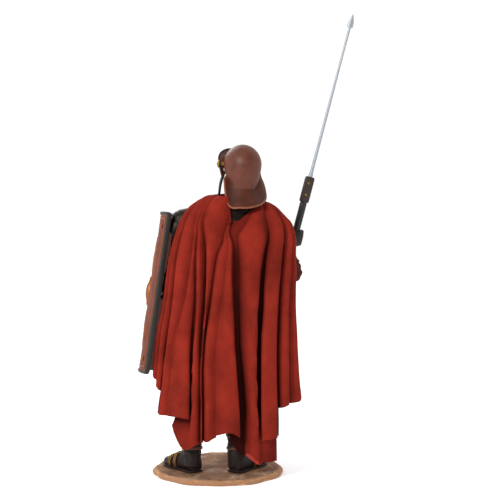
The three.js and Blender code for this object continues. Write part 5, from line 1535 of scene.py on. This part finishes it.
def make_cloak():
    sizes = bpy.context.scene.figurine_sizes
    folds = len(HEMS)
    # Columns stand closer together where a valley bends.
    t = np.linspace(0, 1, sizes.cloak_columns, endpoint=False)
    packed = t - 0.11 * np.sin(2 * math.pi * t)
    fold = np.concatenate([np.repeat(np.arange(folds), len(t)), [folds - 1]])
    s = np.concatenate([np.tile(packed, folds), [1.0]])
    hem = np.array([smooth(HEMS[k], 2 * x) for k, x in zip(fold, s)])
    v = np.linspace(0, 1, sizes.cloak_rows)[:, None]
    level = v * (4 + 5 * (CLOAK_HANG - hem[None, :]) / CLOAK_HANG)
    outer, deep = cloak_points(fold, s, level)
    out = normals_of(outer)
    if np.mean(out[..., 1] * (outer[..., 1] - CLOAK_Y)) < 0:
        out = -out
    # Small soft buckles, long down the cloth, and a finer crumple.
    stretched = outer * np.array([1, 1, 0.28])
    soft = value_noise(stretched, 9, 11) * 0.55 + value_noise(stretched, 4.2, 12) * 0.22
    soft += value_noise(outer, 16, 13) * 0.5
    outer = outer + out * soft[..., None] * ease(0.0, 0.06, v)[..., None]
    middle = smooth(CLOAK_LEVELS, level)[..., 0]
    away = unit(np.stack([outer[..., 0] - middle, outer[..., 1] - CLOAK_Y, 0 * middle], -1))
    normal = normals_of(outer)
    sign = -1 if np.mean(np.sum(normal * away, -1)) > 0 else 1
    facing = -sign * np.sum(normal * away, -1)
    # A turned-under lap lies close to its neighbour, so its inner side is kept near its face.
    thick = sizes.cloth_thick / MM * lerp(0.1, 1, ease(-0.05, 0.6, facing))
    points, faces = sheet(outer, sign * thick)
    # How far the inner side is turned away, which sets its painted shade below.
    hidden = np.clip(1 - facing * 1.4, 0, 1)
    count = (outer.shape[0] - 1) * (outer.shape[1] - 1)
    cloth = build("cloak", [(points, faces)], [finish_named("cloak"), finish_named("lit_lining")], sharp=75)
    numbers = np.zeros(len(faces), np.int32)
    numbers[count:2 * count] = 1
    cloth.data.polygons.foreach_set("material_index", numbers)
    # Painted shade, carried by the hollow mark: the outer face darkens with the depth of its valleys and
    # towards the hem, and the two lobes that hang free below their neighbours' hems take half the valley
    # darkening and a light even darkening instead; the inner side is darkened where it is turned away or lies
    # in a valley, except close to the hem.
    lobe = ((fold == 3) | (fold == 8))[None, :] * ease(7.5, 8.0, level)
    low = 0.16 * ease(6.5, 8.8, level) * (1 - lobe)
    face = np.clip(deep * lerp(1, 0.5, lobe) + 0.05 * lobe + low, 0, 1)
    inside = np.clip(np.maximum(deep * 1.2, hidden), 0, 1) * ease(9, 8.2, level)
    mark(cloth, "hollow", np.concatenate([face.ravel(), inside.ravel()]))
    done(cloth, "cloak_cloth", "cloak")

    # The hem's turned corner under the right lobe, which shows the cloak's inner side, painted bright as
    # where light falls on it from below.
    s = np.linspace(0.5, 0.98, 24)
    v = np.linspace(0, 1, 14)[:, None]
    hem = smooth(HEMS[3], 2 * s)[None, :]
    drop = 5 * np.sin(np.pi * np.linspace(0.04, 0.9, 24)) ** 0.5
    level = 4 + 5 * (CLOAK_HANG - lerp(hem + 16, hem - drop, v)) / CLOAK_HANG
    corner, _ = cloak_points(np.full(24, 3), s, level)
    inward = unit(np.stack([0 * corner[..., 0] + 0.1, 0 * corner[..., 0] - 1, 0 * corner[..., 0]], -1))
    corner = corner + inward * (lerp(1.6, 4.5, ease(0, 0.6, v)) - 1.5 * v ** 4)[..., None]
    turned_hem = build("cloak_turned_hem", [sheet(corner, -sizes.cloth_thick / MM)],
                       [finish_named("lit_lining")], sharp=75)
    mark_hollows(turned_hem, 3, 0.3)
    done(turned_hem, "cloak_cloth", "cloak")


def make_brooch():
    ends = [cloak_edge(len(HEMS) - 1, 1.0, [0.3])[0], cloak_edge(0, 0.0, [0.3])[0]]
    middle = (ends[0] + ends[1]) / 2 - np.array([0, 1.2, 0])
    out, side, up = np.array([0, -1.0, 0]), np.array([1.0, 0, 0]), np.array([0, 0, 1.0])
    profile = [(0.0, 5.4), (0.6, 5.9), (1.0, 5.9), (1.3, 5.2), (0.8, 4.7), (0.8, 3.9), (1.5, 3.3), (2.1, 2.4),
               (2.5, 1.2), (2.6, 0.2)]
    forms = [skin([ring(middle + out * o, side, up, r, r, 48) for o, r in profile])]
    beads = 16
    for k in range(beads):
        a = 2 * math.pi * k / beads
        spot = middle + out * 1.0 + (side * math.cos(a) + up * math.sin(a)) * 4.3
        forms.append(ball(spot, (0.5, 0.5, 0.5), 10, 6))
    clasp = build("brooch", forms, [finish_named("brass")])
    mark_hollows(clasp, 2)
    done(clasp, "brass", "brooch")


# The shield in its own frame: +X out of its face, Y across it and Z up it.

def on_shield(across, up, out):
    angle = np.asarray(across) / SHIELD_BOW_RADIUS
    reach = SHIELD_BOW_RADIUS + np.asarray(out)
    return np.stack(np.broadcast_arrays(reach * np.cos(angle) - BOW_BACK, reach * np.sin(angle), up), -1)


def rounded_outline(inset, per_side=40, per_corner=8):
    """The board's outline at a distance inside its edge, as across and up."""
    half, high = SHIELD_ARC / 2 - inset, SHIELD_HEIGHT / 2 - inset
    corner = max(SHIELD_CORNER - inset, 0.4)
    points = []
    for k, (cx, cy) in enumerate(((1, -1), (1, 1), (-1, 1), (-1, -1))):
        centre = np.array([cx * (half - corner), cy * (high - corner)])
        for a in np.linspace(-90 + 90 * k, 90 * k, per_corner):
            points.append(centre + corner * np.array([math.cos(math.radians(a)), math.sin(math.radians(a))]))
        nx, ny = ((1, 1), (-1, 1), (-1, -1), (1, -1))[k]
        start = points[-1]
        following = np.array([nx * (half - corner), ny * (high - corner)])
        step = {0: (corner, 0), 1: (0, corner), 2: (-corner, 0), 3: (0, -corner)}[k]
        end = following + np.array(step)
        points += [lerp(start, end, t) for t in np.linspace(0, 1, per_side + 2)[1:-1]]
    return np.array(points)


def ridge(path, half_width, high=RELIEF_HEIGHT):
    """A rounded raised strip on the shield's face; each row is across, up and its share of the width."""
    path = np.asarray(path, float)
    t = np.linspace(0, len(path) - 1, 14 * (len(path) - 1) + 1)
    rows = smooth(path, t)
    way = unit(np.gradient(rows[:, :2], axis=0))
    over = np.stack([-way[:, 1], way[:, 0]], -1)
    rings = []
    for (across, up, share), o in zip(rows, over):
        w = max(half_width * share, 0.2)
        loop = []
        for side, lift in ((-1, -0.8), (-1, 0.25), (-0.7, 0.8), (-0.3, 1.0), (0.3, 1.0), (0.7, 0.8),
                           (1, 0.25), (1, -0.8)):
            tall = high * lift * (0.4 + 0.6 * min(share * 2, 1)) if lift > 0 else lift
            loop.append(on_shield(across + o[0] * w * side, up + o[1] * w * side, tall))
        rings.append(loop)
    return skin(rings)


def make_shield():
    half, high = SHIELD_ARC / 2 - RIM_WIDTH + 0.6, SHIELD_HEIGHT / 2 - RIM_WIDTH + 0.6
    across = np.linspace(-half, half, 110)[None, :]
    up = np.linspace(-high, high, 150)[:, None]
    flat = np.stack(np.broadcast_arrays(across, up, 0 * across * up), -1)
    dents = value_noise(flat, 13, 21) * 0.22 + value_noise(flat, 5, 22) * 0.12
    face = on_shield(across, up, dents)
    back = on_shield(across, up, -BOARD_THICK + 0 * up)
    rows, columns = face.shape[:2]
    points, faces = sheet(face, 0.0)
    points = np.concatenate([face.reshape(-1, 3), back.reshape(-1, 3)])
    board = build("shield_board", [moved((points, faces), SHIELD_PLACE)], [finish_named("hide")], sharp=50)
    mark_hollows(board, 6, 1.2)
    done(board, "shield_hide", "shield_board")

    rims = []
    outside, inside = rounded_outline(0.0), rounded_outline(RIM_WIDTH)
    front, rear = RIM_THICK / 2 - BOARD_THICK / 2, -RIM_THICK / 2 - BOARD_THICK / 2
    section = [(0.0, 0.75), (0.08, 0.92), (0.3, 1.0), (0.7, 1.0), (0.92, 0.92), (1.0, 0.7), (1.0, 0.3),
               (0.92, 0.08), (0.7, 0.0), (0.3, 0.0), (0.08, 0.08), (0.0, 0.25)]
    loops = []
    for p, q in zip(outside, inside):
        loop = []
        for inward, forward in section:
            m = lerp(p, q, inward)
            loop.append(on_shield(m[0], m[1], lerp(rear, front, forward)))
        loops.append(loop)
    rims.append(skin(loops, looped=True))
    binding = build("shield_rim", [moved(form, SHIELD_PLACE) for form in rims], [finish_named("iron")])
    p = points_of(binding) / MM
    displace(binding, value_noise(p, 6, 31) * 0.18 + value_noise(p, 2.5, 32) * 0.08)
    mark_hollows(binding, 4, 1.5)
    done(binding, "dark_iron", "shield_rim")

    tall = SHIELD_HEIGHT / 2 - RIM_WIDTH - 8
    work = [ridge([[0, -tall, 0], [0, -tall / 2, 0.7], [0, 0, 1], [0, tall / 2, 0.7], [0, tall, 0]], 3.2)]
    for side in (-1, 1):
        for a, b in ((12, 50), (30, 44), (12, -50), (30, -44)):
            bend = [[side * 4, b * 0.2, 1], [side * (4 + a) * 0.42, b * 0.6, 0.9], [side * a, b, 0]]
            work.append(ridge(bend, 2.4))
    border = rounded_outline(RIM_WIDTH + 3.2)
    work_points = [on_shield(p[0], p[1], 0.1) for p in border]
    work.append(tube(work_points, 0.45, 8, closed=True))
    for side in (-1, 1):
        for cy in (-1, 1):
            centre = on_shield(side * 34, cy * 60, 0.2)
            work.append(ball(centre, (1.1, 1.9, 1.9), 16, 10))
    raised = build("shield_raised_work", [moved(form, SHIELD_PLACE) for form in work], [finish_named("gilt")])
    mark_hollows(raised, 2, 2)
    done(raised, "brass", "shield_board")

    grip = [limb([[GRIP_X, -GRIP_LENGTH / 2, 0, GRIP_RADIUS, GRIP_RADIUS],
                  [GRIP_X, 0, 0, GRIP_RADIUS, GRIP_RADIUS],
                  [GRIP_X, GRIP_LENGTH / 2, 0, GRIP_RADIUS, GRIP_RADIUS]], round_ends=True)]
    for end in (-1, 1):
        y = end * (GRIP_LENGTH / 2 - GRIP_RADIUS)
        base = on_shield(y, 0, -BOARD_THICK)
        grip.append(limb([[base[0] + 0.6, y, 0, 4.4, 3.4], [base[0] - 1.2, y, 0, 3.6, 2.8],
                          [GRIP_X + 2, y, 0, 2.0, 2.0], [GRIP_X, y, 0, 1.6, 1.6]], across=(0, 1, 0)))
    handle = build("shield_grip", [moved(form, SHIELD_PLACE) for form in grip], [finish_named("strap")])
    mark_hollows(handle, 3)
    done(handle, "shield_hide", "shield_board")

    r, flange, tall = BOSS_RADIUS, BOSS_RADIUS + BOSS_FLANGE, BOSS_HEIGHT
    profile = [(flange, -0.2), (flange, 1.6), (flange - 0.5, 2.0), (r + 1.0, 2.0), (r + 0.4, 2.6), (r, 2.2)]
    profile += [(r * math.cos(a), 2.2 + (tall - 2.2) * math.sin(a)) for a in np.linspace(0.12, 1.5, 14)]
    rings = []
    angle = np.linspace(0, 2 * math.pi, 72, endpoint=False)
    for radius, out in profile:
        across_row, up_row = radius * np.cos(angle), radius * np.sin(angle)
        bent = on_shield(across_row, up_row, 0.4)[:, 0]
        flat_x = SHIELD_BOW_RADIUS - BOW_BACK
        keep = ease(r - 0.5, flange, radius)
        rings.append(np.stack([lerp(flat_x, bent, keep) + out, across_row, up_row], -1))
    dome = [skin(rings)]
    for k in range(8):
        a = 2 * math.pi * (k + 0.5) / 8
        y, z = (r + 2.4) * math.cos(a), (r + 2.4) * math.sin(a)
        dome.append(ball(on_shield(y, z, 2.2), (0.9, 1.0, 1.0), 14, 8))
    boss = build("shield_boss", [moved(form, SHIELD_PLACE) for form in dome], [finish_named("gilt")])
    mark_hollows(boss, 3, 1.5)
    done(boss, "brass", "shield_boss")


def turned(profile, sides=32):
    """A turned form along +Z from its radii and heights."""
    return skin([ring((0, 0, z), (1, 0, 0), (0, 1, 0), r, r, sides) for r, z in profile])


def make_javelin():
    r = SHAFT_RADIUS
    profile = [(0.3, 0), (r * 0.45, 2), (r * 0.8, 6), (r, 9)]
    profile += [(r, z) for z in np.linspace(12, SHAFT_LENGTH - 0.6, 60)] + [(r - 0.4, SHAFT_LENGTH)]
    stick = build("javelin_shaft", [moved(turned(profile), JAVELIN_PLACE)], [finish_named("dark_wood")])
    p = points_of(stick) / MM
    displace(stick, value_noise(p * np.array([1, 1, 0.2]), 3, 41) * 0.12)
    mark_hollows(stick, 3, 1.5)
    done(stick, "dark_wood", "javelin_shaft")

    start = SHAFT_LENGTH + GAP
    levels = [(0.9, start), (0.25, start + 0.8), (0, start + 2.2), (0, start + BLOCK_LENGTH - 2.2),
              (0.25, start + BLOCK_LENGTH - 0.8), (0.9, start + BLOCK_LENGTH)]
    rings = [ring((0, 0, z), (1, 0, 0), (0, 1, 0), BLOCK_WIDTH / 2 - i, BLOCK_DEPTH / 2 - i, 48, 6)
             for i, z in levels]
    wooden = build("javelin_block", [moved(skin(rings), JAVELIN_PLACE)], [finish_named("brown_wood")])
    mark_hollows(wooden, 3, 1.5)
    done(wooden, "brown_wood", "javelin_block")

    base, end = start + BLOCK_LENGTH + GAP, JAVELIN_LENGTH
    neck = end - POINT_LENGTH
    rows = [[0, 0, base, 2.1, 2.1], [0, 0, base + 3, 2.0, 2.0], [0, 0, base + 10, 1.6, 1.6],
            [0, 0, lerp(base, neck, 0.5), SHANK_RADIUS, SHANK_RADIUS], [0, 0, neck, 1.2, 1.2],
            [0, 0, neck + 4, 2.5, 1.3], [0, 0, neck + 7, 2.8, 1.3], [0, 0, neck + 12, 1.8, 1.0],
            [0, 0, end - 0.3, 0.25, 0.25]]
    shank = build("javelin_iron", [moved(limb(rows, sides=20, steps=8), JAVELIN_PLACE)],
                  [finish_named("steel")])
    mark_hollows(shank, 3, 0.2)
    done(shank, "steel", "javelin_iron")

    for name, share in (("lower", 0.3), ("upper", 0.75)):
        z = start + share * BLOCK_LENGTH
        rows = [(-1, 0.3), (-0.93, 0.8), (-0.82, 1.1), (-0.8, 1.1), (0.8, 1.1), (0.82, 1.1), (0.93, 0.8),
                (1, 0.3)]
        half = BLOCK_DEPTH / 2 + 0.8
        pin = skin([ring((0, k * half, z), (1, 0, 0), (0, 0, 1), w * 1.25 * RIVET_RADIUS / 1.1,
                         w * 1.25 * RIVET_RADIUS / 1.1, 20) for k, w in rows])
        rivet = build(f"javelin_rivet_{name}", [moved(pin, JAVELIN_PLACE)], [finish_named("brass")])
        mark_hollows(rivet, 2)
        done(rivet, "brass", f"javelin_rivet_{name}")


# The stage: a pale floor, a white room light and soft lamps, and the photo's camera.
CAMERA_PLACE = (-0.029, 1.600, 0.369)
CAMERA_PITCH = 5.896
CAMERA_LENS = 128.1
FLOOR_RADIUS = 1.6


def plain_floor():
    """A matt white table lit from below, as for catalogue pictures, so that it only takes a soft shadow."""
    material, _, shader, _ = begin("white_table", 0.9)
    shader.inputs["Base Color"].default_value = (*bpy.context.scene.figurine_colours.floor, 1)
    shader.inputs["Emission Color"].default_value = (1, 1, 1, 1)
    shader.inputs["Emission Strength"].default_value = 0.16
    return material


def lamp(name, place, target, size, power):
    light = bpy.data.lights.new(name, "AREA")
    light.shape = "DISK"
    light.size = size
    light.energy = power
    obj = bpy.data.objects.new(name, light)
    obj.location = place
    obj.rotation_euler = (Vector(target) - Vector(place)).to_track_quat("-Z", "Y").to_euler()
    bpy.context.scene.collection.objects.link(obj)


def make_stage():
    scene = bpy.context.scene
    bpy.ops.mesh.primitive_circle_add(vertices=96, radius=FLOOR_RADIUS, fill_type="NGON")
    floor = bpy.context.object
    floor.name = "floor"
    floor.data.materials.append(plain_floor())
    world = bpy.data.worlds.new("white_room")
    scene.world = world
    world.use_nodes = True
    tree = world.node_tree
    toward = add(tree, "ShaderNodeTexCoord").outputs["Generated"]
    axes = add(tree, "ShaderNodeSeparateXYZ", links={"Vector": toward})
    dim = add(tree, "ShaderNodeMapRange",
              {"From Min": -0.15, "From Max": 0.75, "To Min": 1.06, "To Max": 0.5},
              {"Value": axes.outputs["Y"]}, interpolation_type="SMOOTHSTEP")
    tree.links.new(dim.outputs[0], tree.nodes["Background"].inputs["Strength"])
    tree.nodes["Background"].inputs["Color"].default_value = (1, 1, 1, 1)
    lamp("key", (0.85, 1.1, 0.95), (0, 0, 0.16), 0.4, 17)
    lamp("fill", (-1.2, 1.0, 0.35), (0, 0, 0.15), 0.6, 1.5)
    lamp("front", (0.6, -1.4, 1.0), (0, 0, 0.16), 0.8, 8)
    camera = bpy.data.cameras.new("camera")
    camera.lens = CAMERA_LENS
    camera.sensor_width = 36
    eye = bpy.data.objects.new("camera", camera)
    eye.location = CAMERA_PLACE
    eye.rotation_euler = (math.radians(90 - CAMERA_PITCH), 0, math.pi)
    scene.collection.objects.link(eye)
    scene.camera = eye
    scene.view_settings.view_transform = "Standard"


class MakeStage(bpy.types.Operator):
    """Lay the floor and set the lamps and the camera"""
    bl_idname = "figurine.make_stage"
    bl_label = "Stage"

    def execute(self, context):
        make_stage()
        return {"FINISHED"}


class MakeSlab(bpy.types.Operator):
    """Cast the slab of earth"""
    bl_idname = "figurine.make_slab"
    bl_label = "Slab"

    def execute(self, context):
        make_slab()
        return {"FINISHED"}


class MakeLegs(bpy.types.Operator):
    """Make the legs with their boots, straps and buckles"""
    bl_idname = "figurine.make_legs"
    bl_label = "Legs and boots"

    def execute(self, context):
        make_legs()
        return {"FINISHED"}


class MakeTunic(bpy.types.Operator):
    """Pleat the tunic's skirt"""
    bl_idname = "figurine.make_tunic"
    bl_label = "Tunic"

    def execute(self, context):
        make_tunic()
        return {"FINISHED"}


class MakeArmour(bpy.types.Operator):
    """Make the armour's plates, belt and shoulder guards"""
    bl_idname = "figurine.make_armour"
    bl_label = "Armour and belt"

    def execute(self, context):
        make_armour()
        make_belt()
        make_shoulder_guards()
        return {"FINISHED"}


class MakeArms(bpy.types.Operator):
    """Make the sleeves, forearms, bracers and hands"""
    bl_idname = "figurine.make_arms"
    bl_label = "Arms and hands"

    def execute(self, context):
        make_arms()
        return {"FINISHED"}


class MakeHead(bpy.types.Operator):
    """Make the neck, scarf, head and eyes"""
    bl_idname = "figurine.make_head"
    bl_label = "Head and neck"

    def execute(self, context):
        make_neck()
        make_head()
        return {"FINISHED"}


class MakeHelmet(bpy.types.Operator):
    """Make the helmet and its cheek guards"""
    bl_idname = "figurine.make_helmet"
    bl_label = "Helmet"

    def execute(self, context):
        make_helmet()
        return {"FINISHED"}


class MakeCloak(bpy.types.Operator):
    """Fold the cloak and pin it with its brooch"""
    bl_idname = "figurine.make_cloak"
    bl_label = "Cloak and brooch"

    def execute(self, context):
        make_cloak()
        make_brooch()
        return {"FINISHED"}


class MakeShield(bpy.types.Operator):
    """Make the shield's board, binding, raised work, grip and boss"""
    bl_idname = "figurine.make_shield"
    bl_label = "Shield"

    def execute(self, context):
        make_shield()
        return {"FINISHED"}


class MakeJavelin(bpy.types.Operator):
    """Make the javelin's shaft, block, iron and rivets"""
    bl_idname = "figurine.make_javelin"
    bl_label = "Javelin"

    def execute(self, context):
        make_javelin()
        return {"FINISHED"}


MAKERS = (MakeStage, MakeSlab, MakeLegs, MakeTunic, MakeArmour, MakeArms, MakeHead, MakeHelmet,
          MakeCloak, MakeShield, MakeJavelin)


class FigurinePanel(bpy.types.Panel):
    """Sizes, colours and makers of the figurine"""
    bl_idname = "VIEW3D_PT_figurine"
    bl_label = "Figurine"
    bl_space_type = "VIEW_3D"
    bl_region_type = "UI"
    bl_category = "Figurine"

    def draw(self, context):
        for group in (context.scene.figurine_sizes, context.scene.figurine_colours):
            box = self.layout.box()
            for key in group.bl_rna.properties.keys():
                if key not in {"rna_type", "name"}:
                    box.prop(group, key)
        for maker in MAKERS:
            self.layout.operator(maker.bl_idname)


CLASSES = (FigurineSizes, FigurineColours, *MAKERS, FigurinePanel)


def register():
    for cls in CLASSES:
        bpy.utils.register_class(cls)
    bpy.types.Scene.figurine_sizes = PointerProperty(type=FigurineSizes)
    bpy.types.Scene.figurine_colours = PointerProperty(type=FigurineColours)


def unregister():
    del bpy.types.Scene.figurine_colours
    del bpy.types.Scene.figurine_sizes
    for cls in reversed(CLASSES):
        bpy.utils.unregister_class(cls)


def main():
    register()
    bpy.ops.figurine.make_stage()
    bpy.ops.figurine.make_slab()
    bpy.ops.figurine.make_legs()
    bpy.ops.figurine.make_tunic()
    bpy.ops.figurine.make_armour()
    bpy.ops.figurine.make_arms()
    bpy.ops.figurine.make_head()
    bpy.ops.figurine.make_helmet()
    bpy.ops.figurine.make_cloak()
    bpy.ops.figurine.make_shield()
    bpy.ops.figurine.make_javelin()


if __name__ == "__main__":
    main()
